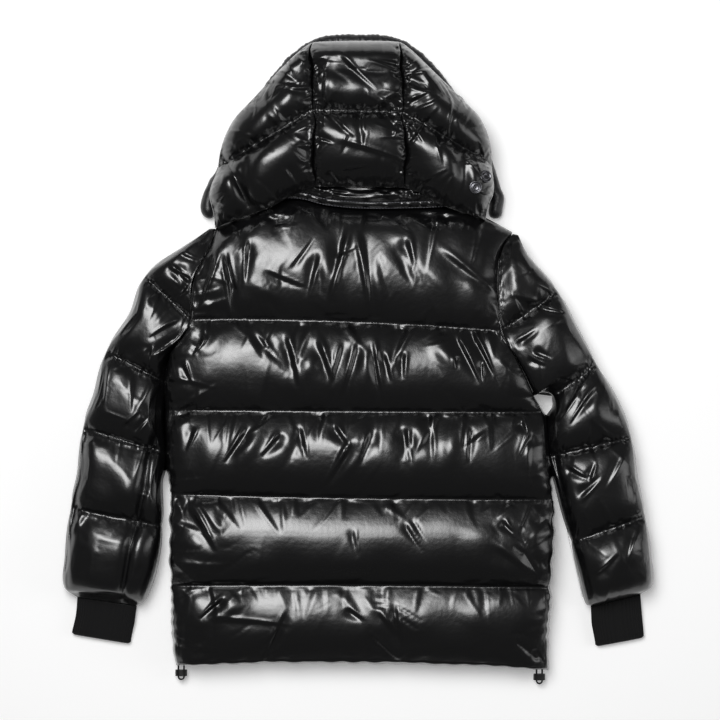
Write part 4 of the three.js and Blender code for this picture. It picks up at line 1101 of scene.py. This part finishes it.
# The main creases of each panel: where each starts and ends, its half width, and its depth, above 0 where its
# steep wall is on the left as seen from its start.
BACK_CREASES = (
    # on the yoke
    (-202, 165, -219, 78, 12, 7), (-186, 160, -172, 60, 10, -6), (-190, 150, -176, 96, 8, 5),
    (-20, 196, -37, 92, 12, 7), (5, 190, 26, 70, 12, -8), (60, 172, 76, 132, 12, 6),
    (-137, 122, -80, 97, 7, 4), (-36, 143, -5, 152, 6, -4), (-97, 122, -64, 162, 5, 4),
    (98, 156, 190, 96, 12, 4), (-150, 172, -160, 112, 8, -5), (-60, 150, -68, 92, 9, 5),
    # on the baffle below it
    (-110, 40, -84, -30, 11, 8), (-66, 30, -38, -27, 12, 8), (-18, 26, -34, -36, 9, -6),
    (4, 30, -16, -48, 9, -6), (16, 34, 28, -58, 7, 7), (32, 12, 42, -30, 8, 6),
    (62, 12, 60, -26, 7, 6), (132, 32, 168, -26, 9, 7), (152, 42, 188, -16, 9, 7),
    (172, -2, 172, -30, 5, 5), (138, 4, 136, -14, 6, -5), (-216, 40, -230, 8, 9, 6),
    (-252, -2, -238, -34, 8, 6), (-150, 38, -118, -2, 7, 4),
    # beside the neck
    (-143, 207, -101, 222, 7, 4), (-137, 198, -89, 195, 6, 4), (-124, 187, -87, 188, 5, -4),
    (76, 203, 144, 196, 7, 4), (55, 197, 73, 176, 6, -4), (100, 189, 119, 184, 5, 4),
    # on the middle baffle
    (-232, -92, -240, -126, 9, 5), (-150, -94, -180, -142, 9, -8), (-104, -104, -130, -136, 9, -7),
    (-84, -92, -76, -138, 6, 6), (-42, -92, -14, -122, 9, 7), (-2, -112, -38, -176, 9, -9),
    (22, -98, 6, -146, 9, -6), (62, -94, 70, -136, 8, 6), (76, -96, 70, -144, 7, -5),
    (160, -94, 152, -142, 7, -6), (226, -88, 234, -104, 8, 5), (246, -104, 228, -132, 7, -5),
    # on the one below it
    (-248, -206, -204, -262, 14, 8), (-10, -236, -4, -276, 5, 3), (62, -228, 84, -268, 5, 4),
    (72, -224, 90, -256, 4, -3), (176, -262, 250, -308, 14, 4), (200, -228, 214, -246, 7, 5),
    # beside the hem
    (-184, -338, -220, -362, 8, -8), (-222, -372, -110, -372, 10, 3), (-96, -350, -138, -430, 6, -5),
    (-20, -352, 4, -370, 7, 5), (18, -352, 52, -388, 9, 4), (50, -342, 56, -400, 5, 4),
    (10, -388, 52, -430, 8, 4),
)
HOOD_CREASES = {
    "left": ((-66, 402, -60, 366, 7, 5), (-78, 300, -60, 262, 8, 4), (-100, 268, -84, 240, 7, -4)),
    "middle": (
        (-34, 424, 14, 374, 8, 5), (-48, 404, -52, 366, 6, 5), (-42, 338, -12, 306, 6, 4),
        (-10, 312, -24, 286, 5, -3), (8, 318, 4, 290, 5, 3), (-40, 298, 60, 278, 9, 4),
        (-44, 262, -30, 244, 7, 6), (-30, 258, 20, 264, 5, 3),
    ),
    "right": ((68, 352, 100, 366, 6, 4), (72, 346, 112, 358, 6, -4), (66, 330, 84, 300, 8, 4)),
}
# The tucks of the hood, as corners in the plan.
HOOD_TUCKS = {
    "left": (((-192, 286), (-178, 262), (-166, 240), (-152, 214)),),
    "middle": (),
    "right": (),
}
SLEEVE_CREASES = {
    "left": (
        (-256, 148, -226, 134, 6, 4), (-260, 138, -236, 100, 8, -5), (-272, 128, -234, 107, 7, 6),
        (-236, 108, -260, 82, 7, 5), (-248, 52, -290, 33, 8, -5), (-238, 42, -284, 6, 9, 6),
        (-292, 20, -297, -8, 6, 4), (-334, -101, -308, -80, 6, 5), (-319, -107, -295, -86, 6, -5),
        (-356, -2, -362, -58, 7, 3),
    ),
    "right": (
        (250, 71, 290, 61, 6, 5), (219, 16, 250, 36, 7, 5), (243, 11, 267, -1, 6, -5),
        (235, 0, 260, -12, 5, 4), (340, 20, 292, -80, 9, 6), (341, -36, 300, -84, 7, -6),
        (287, -152, 322, -173, 7, 6), (321, -174, 333, -150, 6, -5), (304, -198, 338, -172, 8, -5),
        (332, -312, 364, -282, 8, 5), (372, -128, 352, -176, 9, 3), (392, -236, 376, -276, 8, 3),
    ),
}
# The lengthwise seams of the sleeves, as corners in the plan.
SLEEVE_SEAMS = {
    "left": (
        ((-288, -116), (-297, -143), (-302, -182), (-312, -227), (-323, -268), (-336, -341)),
        ((-390, -109), (-395, -160), (-403, -196), (-420, -320)),
    ),
    "right": (((276, -140), (300, -262), (322, -352)),),
}


class MakeBody(bpy.types.Operator):
    """Make the quilted back and the two fronts"""

    bl_idname = "jacket.make_body"
    bl_label = "Body"

    def execute(self, context):
        obj = padded_panel(
            "back_panel", back_faces(), counts=(132, 32), crowding=0.5, facing=1,
            look=BACK_LOOK, seed=11, baffles=BAFFLES, placed=BACK_CREASES,
        )
        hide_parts("back")
        for seed, side in enumerate(("left", "right")):
            obj = padded_panel(
                f"front_panel_{side}", front_faces(side), counts=(32, 16), crowding=0.4, facing=-1,
                look=FRONT_LOOK, seed=31 + seed, baffles=BAFFLES,
            )
            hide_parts(f"front_{side}")
        return {"FINISHED"}


class MakeSleeves(bpy.types.Operator):
    """Make the upper and under panels of both sleeves"""

    bl_idname = "jacket.make_sleeves"
    bl_label = "Sleeves"

    def execute(self, context):
        for seed, side in enumerate(("left", "right")):
            for facing, part, counts in ((1, "upper", (40, 28)), (-1, "under", (24, 16))):
                upper = facing > 0
                obj = padded_panel(
                    f"sleeve_panel_{side}_{part}", sleeve_faces(side, facing), counts, crowding=0.4,
                    facing=facing, look=SLEEVE_LOOK if upper else SLEEVE_UNDER_LOOK, seed=51 + 4 * seed,
                    baffles=BAFFLES, placed=SLEEVE_CREASES[side] if upper else (),
                    grooves=SLEEVE_SEAMS[side] if upper else (),
                )
                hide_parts(f"sleeve_{side}_{part}")
        return {"FINISHED"}


class MakeCuffs(bpy.types.Operator):
    """Make the ribbed cuffs"""

    bl_idname = "jacket.make_cuffs"
    bl_label = "Cuffs"

    ribs = 46
    rib_height = 0.9
    rows = 30
    thickness = 15.0
    wall = 6.0  # from the outer face to the inner one
    power = 3.2  # how square the flattened tube is
    edge_rows = 0.035  # how far the rounded free edge reaches past the last row
    row_length = 70.0  # what one row measures there

    def execute(self, context):
        for side in ("left", "right"):
            at = cuff_at[side]
            turn = np.linspace(0, 2 * np.pi, self.ribs * 8, endpoint=False)
            step = np.linspace(0, 1, 7)[1:-1]
            rim = np.sin(np.linspace(0, np.pi, 7)[1:-1])
            down = np.linspace(0, 1, self.rows)
            # out along the outer face, round the free edge, back along the inner face and round the sewn edge
            row = np.concatenate([down, 1 + self.edge_rows * rim, down[::-1], 0 * rim])
            flat = np.zeros(self.rows)
            back = lerp(self.wall, 0, step)
            depth = np.concatenate([flat, self.wall * step, flat + self.wall, back])
            turns, rows = np.meshgrid(turn, row)
            depths = np.broadcast_to(depth[:, None], turns.shape)
            outside = depths < 0.1
            rib = self.rib_height * np.abs(np.sin(turns * self.ribs / 2)) ** 0.7 * outside
            wave = 0.5 * soft_noise(turns.shape, 12, 30, 7)
            depths = depths + self.rib_height - rib - wave * outside
            c, s = np.cos(turns), np.sin(turns)
            share = np.sign(c) * np.abs(c) ** (2 / self.power)
            lift = np.sign(s) * np.abs(s) ** (2 / self.power)
            along = np.clip(rows, 0, 1)
            outer_x, outer_y, inner_x, inner_y = (at[name](along) for name in EDGE_COLUMNS)
            beyond = np.maximum(rows - 1, 0) * self.row_length
            half_x, half_y = (outer_x - inner_x) / 2, (outer_y - inner_y) / 2
            length = np.hypot(half_x, half_y)
            reach = (length - depths) / length
            x = (outer_x + inner_x) / 2 - half_x * share * reach
            y = (outer_y + inner_y) / 2 - half_y * share * reach - beyond
            z = np.maximum(at["middle_z"](along) + lift * (self.thickness / 2 - depths), LOWEST)
            grid = place(points(x, y, z))
            index = np.arange(turns.size).reshape(turns.shape)
            quads = tube_quads(np.concatenate([index, index[:1]]))
            obj = new_mesh(f"cuff_knit_{side}", grid, quads, material("rib_knit"))
            outwards(obj)
            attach(obj, GARMENT)
            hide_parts(f"cuff_{side}")
        return {"FINISHED"}


class MakeCollar(bpy.types.Operator):
    """Make the collar and the band that covers the hood's zip"""

    bl_idname = "jacket.make_collar"
    bl_label = "Collar"

    def execute(self, context):
        columns, rows = np.linspace(0.004, 0.996, 193), np.linspace(0, 1, 33)
        across, row = np.meshgrid(columns, rows)
        outer = collar_point(across, row, 0, False)
        lumps = 1.6 * soft_noise(across.shape, 14, 5, 71) * swell(row, 2)
        outer[..., 2] += lumps * np.sign(outer[..., 2] - BODY["middle_z"][-1])
        inner = collar_point(*np.meshgrid(columns[::INNER_STEP], rows[::INNER_STEP]), COLLAR_SLIT, True)
        vertices, polygons = shell(place(outer), place(inner), 1)
        obj = new_mesh("collar_panel", vertices, polygons, material("shell"))
        outwards(obj)
        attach(obj, GARMENT)
        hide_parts("collar")
        self.make_band()
        return {"FINISHED"}

    def make_band(self):
        """A strip of the collar's points moved out, with a gathered ridge between its stitches."""
        columns, rows = np.linspace(*NECK_BAND_COLUMNS, 161), np.linspace(0, NECK_BAND_TOP, 25)
        across, row = np.meshgrid(columns, rows)
        share = row / NECK_BAND_TOP
        outer = collar_point(across, row, 0, False)
        gathers = 0.8 * soft_noise(across.shape, 5, 2, 83)
        arch = np.abs(np.sin(np.pi * np.clip(share / NECK_BAND_ROWS[1], 0, 1))) ** 0.8
        ridge = (1.5 + gathers) * arch
        crinkles = 3.4 * soft_noise(across.shape, 5, 6, 81) + 1.8 * soft_noise(across.shape, 3, 2.5, 82)
        free = smoothstep(share, NECK_BAND_ROWS[1], 0.45) * (1 - smoothstep(share, 0.8, 1))
        outer[..., 2] += LAYER_GAP + NECK_BAND_THICKNESS + ridge + np.maximum(crinkles + 3, 0) * free
        inner = collar_point(*np.meshgrid(columns[::INNER_STEP], rows[::INNER_STEP]), 0, False)
        inner[..., 2] += LAYER_GAP
        vertices, polygons = shell(place(outer), place(inner), 1)
        obj = new_mesh("neck_band_cover", vertices, polygons, material("shell"))
        outwards(obj)
        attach(obj, GARMENT)
        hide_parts("neck_band")


class MakeHood(bpy.types.Operator):
    """Make the hood's three panels and the band round its opening"""

    bl_idname = "jacket.make_hood"
    bl_label = "Hood"

    gather_pitch = 6.5  # from one gather of the band to the next
    end_length = 11.0  # over which the band closes at its ends
    cheek_radius = 10.5
    brow_radius = 12.0
    upright_radius = 11.5

    def execute(self, context):
        for seed, (panel, cells) in enumerate((("left", 44), ("middle", 36), ("right", 44))):
            obj = padded_panel(
                f"hood_panel_{panel}", hood_faces(panel), counts=(cells, 36), crowding=0.4, facing=1,
                look=HOOD_LOOK, seed=91 + seed, baffles=HOOD_BAFFLES, placed=HOOD_CREASES[panel],
                grooves=HOOD_TUCKS[panel],
            )
            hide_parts(f"hood_{panel}")
        self.make_band()
        return {"FINISHED"}

    def make_band(self):
        """An oval carried along the rim, with fine gathers over the brow and soft folds at the cheeks."""
        travelled = distance_along(BAND_PATH["x"], BAND_PATH["y"])
        columns = {**BAND_PATH, "at": travelled}
        at = np.linspace(0, travelled[-1], 640)
        x, y, z = (track(columns, "at", name)(at) for name in "xyz")
        tangent = np.stack([np.gradient(x), np.gradient(y)], -1)
        tangent /= np.linalg.norm(tangent, axis=-1, keepdims=True)
        turn = np.linspace(0, 2 * np.pi, 40, endpoint=False)
        turns, _ = np.meshgrid(turn, at)
        from_end = np.minimum(at, travelled[-1] - at)
        opened = np.clip(from_end / self.end_length, 0, 1)
        closing = np.sqrt(np.clip(1 - (1 - opened) ** 2, 1e-4, 1))[:, None]
        brow = smoothstep(y, 360, 430)[:, None]
        phase = at / self.gather_pitch * 2 * np.pi + 3 * soft_noise((1, len(at)), 1, 30, 5)[0]
        fine = 0.25 * np.sin(phase + 0.8 * np.sin(turns).T).T + 0.6 * soft_noise(turns.shape, 4, 7, 6)
        broad = 1.1 * soft_noise(turns.shape, 12, 8, 8)
        relief = (lerp(broad, fine, brow) - 0.8) * closing
        side = (lerp(self.cheek_radius, self.brow_radius, brow) * closing + relief) * np.cos(turns)
        up = (self.upright_radius * closing + relief) * np.sin(turns)
        across_x, across_y = tangent[:, 1:2] * side, tangent[:, 0:1] * side
        grid = points(x[:, None] + across_x, y[:, None] - across_y, np.maximum(z[:, None] + up, LOWEST))
        index = np.arange(turns.size).reshape(turns.shape)
        ends = [index[0][::-1].tolist(), index[-1].tolist()]
        obj = new_mesh("hood_band_casing", place(grid), tube_quads(index) + ends, material("lining"))
        outwards(obj)
        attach(obj, GARMENT)
        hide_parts("hood_band")


def outwards(obj):
    """Turns every face of a closed mesh outwards if its signed volume is below 0."""
    mesh = obj.data
    mesh.calc_loop_triangles()
    corners = np.empty(len(mesh.loop_triangles) * 3, int)
    mesh.loop_triangles.foreach_get("vertices", corners)
    co = np.empty(len(mesh.vertices) * 3)
    mesh.vertices.foreach_get("co", co)
    a, b, c = co.reshape(-1, 3)[corners.reshape(-1, 3)].transpose(1, 0, 2)
    if np.einsum("ij,ij->i", a, np.cross(b, c)).sum() < 0:
        mesh.flip_normals()


def stitches(name, lines, thickness=1.0, thread="thread"):
    """Rows of stitches: each a short rounded rod along its seam, between two needle holes."""
    radius, pitch = sizes().thread_radius * thickness, sizes().stitch_length
    centres, directions = [], []
    for line in lines:
        travelled = np.concatenate([[0], np.cumsum(np.linalg.norm(np.diff(line, axis=0), axis=-1))])
        at = np.arange(pitch, travelled[-1] - pitch, pitch)
        here = np.stack([np.interp(at, travelled, line[:, k]) for k in range(3)], -1)
        ahead = np.stack([np.interp(at + pitch / 4, travelled, line[:, k]) for k in range(3)], -1)
        centres.append(here)
        directions.append(ahead - here)
    centre = np.concatenate(centres)
    along = np.concatenate(directions)
    along /= np.linalg.norm(along, axis=-1, keepdims=True)
    side = np.cross(along, [0, 0, 1.0])
    side /= np.linalg.norm(side, axis=-1, keepdims=True)
    up = np.cross(side, along)
    sides = 6
    stations = np.array([-0.42, -0.36, 0, 0.36, 0.42]) * pitch
    girth = np.array([0.35, 0.9, 1.1, 0.9, 0.35]) * radius
    sink = np.array([-0.6, -0.1, 0.3, -0.1, -0.6]) * radius
    turn = np.linspace(0, 2 * np.pi, sides, endpoint=False)
    ring = centre[:, None, None] + along[:, None, None] * stations[None, :, None, None]
    ring = ring + side[:, None, None] * (girth[:, None] * np.cos(turn))[None, ..., None]
    ring = ring + up[:, None, None] * (girth[:, None] * np.sin(turn) + sink[:, None])[None, ..., None]
    index = np.arange(ring.size // 3).reshape(ring.shape[:3])
    ends = [*index[:, 0, ::-1].tolist(), *index[:, -1].tolist()]
    obj = new_mesh(name, ring, tube_quads(index) + ends, material(thread))
    outwards(obj)
    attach(obj, GARMENT)


class MakeStitching(bpy.types.Operator):
    """Make the stitches of the quilting lines, the sleeves' long seams, the neck band and the hood"""

    bl_idname = "jacket.make_stitching"
    bl_label = "Stitching"

    def execute(self, context):
        hood_panels = ("hood_panel_left", "hood_panel_middle", "hood_panel_right")
        self.along_rows("back_stitches", ("back_panel",), BAFFLES)
        self.along_rows("sleeve_stitches", ("sleeve_panel_left_upper", "sleeve_panel_right_upper"), BAFFLES)
        self.along_rows("hood_stitches", hood_panels, HOOD_BAFFLES)
        lines = []
        for side, seams in SLEEVE_SEAMS.items():
            for seam in seams:
                corners = np.array(seam, float) + GARMENT_ORIGIN[:2]
                travelled = distance_along(*corners.T)
                at = np.linspace(4, travelled[-1] - 6, 120)
                plan = np.stack([np.interp(at, travelled, corners[:, k]) for k in (0, 1)], -1)
                found, _ = surface_point(f"sleeve_panel_{side}_upper", plan)
                lines.append((np.concatenate([plan, found[:, 2:]], axis=1) + (0, 0, 0.2)) * MM)
        stitches("sleeve_seam_stitches", lines)
        band = np.linspace(NECK_BAND_COLUMNS[0] + 0.004, NECK_BAND_COLUMNS[1] - 0.004, 300)
        lines = []
        for share in NECK_BAND_ROWS:
            line = collar_point(band, np.full_like(band, share * NECK_BAND_TOP), 0, False)
            line[..., 2] += LAYER_GAP + NECK_BAND_THICKNESS + 0.9
            lines.append(place(line))
        # the neck band's two rows take the thread painted pale grey, a painted highlight
        stitches("neck_band_stitches", lines, 1.8, "band_thread_painted_highlight")
        return {"FINISHED"}

    def along_rows(self, name, panels, baffles):
        """Stitches on the quilting lines between the baffles of some panels."""
        lines = []
        for panel in panels:
            grid = surfaces[panel]
            step = (len(grid) - 1) // baffles
            lines += [(grid[step * number, 3:-3] + (0, 0, 0.15)) * MM for number in range(1, baffles)]
        stitches(name, lines)


class DressHardware(bpy.types.Operator):
    """Give the zip, snaps, cords and cord locks their finishes"""

    bl_idname = "jacket.dress_hardware"
    bl_label = "Hardware"

    finishes = {
        "zip": "zip_tape",
        "zip_slider": "dark_metal",
        "zip_pull": "dark_metal",
        "cord_lock_left": "black_plastic",
        "cord_lock_right": "black_plastic",
        "hem_cord_left": "cord",
        "hem_cord_right": "cord",
    }

    def execute(self, context):
        for node, slot in self.finishes.items():
            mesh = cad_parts[node].data
            mesh.materials.clear()
            mesh.materials.append(material(slot))
        for number, (x, y, tilt) in enumerate(SNAPS, 1):
            self.snap(f"snap_{number}", np.array([x, y]) + GARMENT_ORIGIN[:2], tilt)
        return {"FINISHED"}

    def snap(self, node, plan, tilt):
        """A pressed cap with a rolled rim and a ring round its dished middle, turned towards the cloth."""
        base, normal = surface_point("hood_panel_right", plan)
        axis = lerp(np.array([0, 0, 1.0]), normal[0], tilt)
        axis /= np.linalg.norm(axis)
        side = np.cross([0, 1.0, 0], axis)
        side /= np.linalg.norm(side)
        radius = np.array([9.0, 9.0, 8.6, 7.8, 7.0, 6.4, 5.6, 4.6, 4.2, 3.6, 2.0, 0.8])
        height = np.array([-2.0, 0.8, 1.9, 2.4, 2.0, 1.3, 1.2, 1.5, 1.9, 1.5, 1.3, 1.3])
        turn = np.linspace(0, 2 * np.pi, 72, endpoint=False)[:, None]
        ring = side * (radius * np.cos(turn))[..., None]
        ring = ring + np.cross(axis, side) * (radius * np.sin(turn))[..., None]
        grid = base[0] + ring + axis * (height + 1.2)[:, None]
        index = np.arange(grid.size // 3).reshape(grid.shape[:2])
        ends = [index[:, 0].tolist(), index[::-1, -1].tolist()]
        obj = new_mesh(f"{node}_cap", grid * MM, tube_quads(index.T) + ends, material("dark_metal"))
        outwards(obj)
        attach(obj, GARMENT)
        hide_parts(node)


class MakeStudio(bpy.types.Operator):
    """Make the pale floor, the soft lights and the camera straight above"""

    bl_idname = "jacket.make_studio"
    bl_label = "Studio"

    picture_middle = (0.0026, -0.0016)
    mid_height = 0.045  # the height at which the picture is as wide as the user says
    sensor = 36
    half_floor = 6.0

    def execute(self, context):
        scene = context.scene
        settings = scene.studio_settings
        camera = bpy.data.objects.new("camera", bpy.data.cameras.new("camera"))
        camera.location = (*self.picture_middle, settings.camera_height)
        camera.data.sensor_width = self.sensor
        camera.data.lens = self.sensor * (settings.camera_height - self.mid_height) / settings.view_width
        scene.collection.objects.link(camera)
        scene.camera = camera
        corners = np.array([(-1, -1, 0), (1, -1, 0), (1, 1, 0), (-1, 1, 0)]) * self.half_floor
        floor = new_mesh("floor", corners, [[0, 1, 2, 3]], material("floor"))
        self.light("key_box", (-0.42, 0.66, 2.5), size=(1.35, 1.9), watts=60, colour=settings.key_colour)
        self.light("side_box", (2.1, -0.1, 1.2), size=(1.2, 2.0), watts=8, colour=(1, 1, 1))
        world = bpy.data.worlds.new("studio")
        world.use_nodes = True
        background = world.node_tree.nodes["Background"]
        background.inputs["Color"].default_value = linear("#ffffff")
        background.inputs["Strength"].default_value = 0.1
        scene.world = world
        scene.view_settings.view_transform = "Standard"
        return {"FINISHED"}

    def light(self, name, where, size, watts, colour):
        """A rectangular soft box that looks at the middle of the jacket, brightest in its middle.

        Its brightness falls to 0 at the edges as the product of two parabolas whose mean is 1.
        """
        data = bpy.data.lights.new(name, "AREA")
        data.use_nodes = True
        tree = data.node_tree
        spot = [("Vector", add(tree, "ShaderNodeNewGeometry"), "Parametric")]
        centred = add(tree, "ShaderNodeVectorMath", spot, operation="MULTIPLY_ADD")
        centred.inputs[1].default_value, centred.inputs[2].default_value = (2, 2, 0), (-1, -1, 0)
        parts = add(tree, "ShaderNodeSeparateXYZ", [("Vector", centred, "Vector")])
        left = []
        for axis in "XY":
            square = add(tree, "ShaderNodeMath", [(0, parts, axis), (1, parts, axis)], operation="MULTIPLY")
            left.append(add(tree, "ShaderNodeMath", [(0, square, "Value")], operation="MULTIPLY_ADD"))
            left[-1].inputs[1].default_value, left[-1].inputs[2].default_value = -1.5, 1.5
        factors = [(0, left[0], "Value"), (1, left[1], "Value")]
        both = add(tree, "ShaderNodeMath", factors, operation="MULTIPLY")
        tree.links.new(both.outputs["Value"], tree.nodes["Emission"].inputs["Strength"])
        data.shape = "RECTANGLE"
        data.size, data.size_y = size
        data.energy = watts
        data.color = colour
        lamp = bpy.data.objects.new(name, data)
        lamp.location = where
        lamp.rotation_euler = (Vector((0, 0, 0.05)) - Vector(where)).to_track_quat("-Z", "Y").to_euler()
        bpy.context.scene.collection.objects.link(lamp)


OPERATORS = (MakeStudio, MakeBody, MakeSleeves, MakeCuffs, MakeCollar, MakeHood, MakeStitching, DressHardware)


class JacketPanel(bpy.types.Panel):
    """Lists the jacket's pieces in the 3D view's sidebar"""

    bl_idname = "VIEW3D_PT_jacket"
    bl_label = "Jacket"
    bl_space_type = "VIEW_3D"
    bl_region_type = "UI"
    bl_category = "Jacket"

    def draw(self, context):
        for operator in OPERATORS:
            self.layout.operator(operator.bl_idname)
        for group in (context.scene.jacket_sizes, context.scene.studio_settings):
            for name in group.bl_rna.properties.keys():
                if name not in ("rna_type", "name"):
                    self.layout.prop(group, name)


CLASSES = (JacketSizes, StudioSettings, *OPERATORS, JacketPanel)


def register():
    for cls in CLASSES:
        bpy.utils.register_class(cls)
    bpy.types.Scene.jacket_sizes = bpy.props.PointerProperty(type=JacketSizes)
    bpy.types.Scene.studio_settings = bpy.props.PointerProperty(type=StudioSettings)


def unregister():
    del bpy.types.Scene.studio_settings
    del bpy.types.Scene.jacket_sizes
    for cls in reversed(CLASSES):
        bpy.utils.unregister_class(cls)


def main():
    register()
    for operator in OPERATORS:
        group, name = operator.bl_idname.split(".")
        getattr(getattr(bpy.ops, group), name)()


if __name__ == "__main__":
    main()
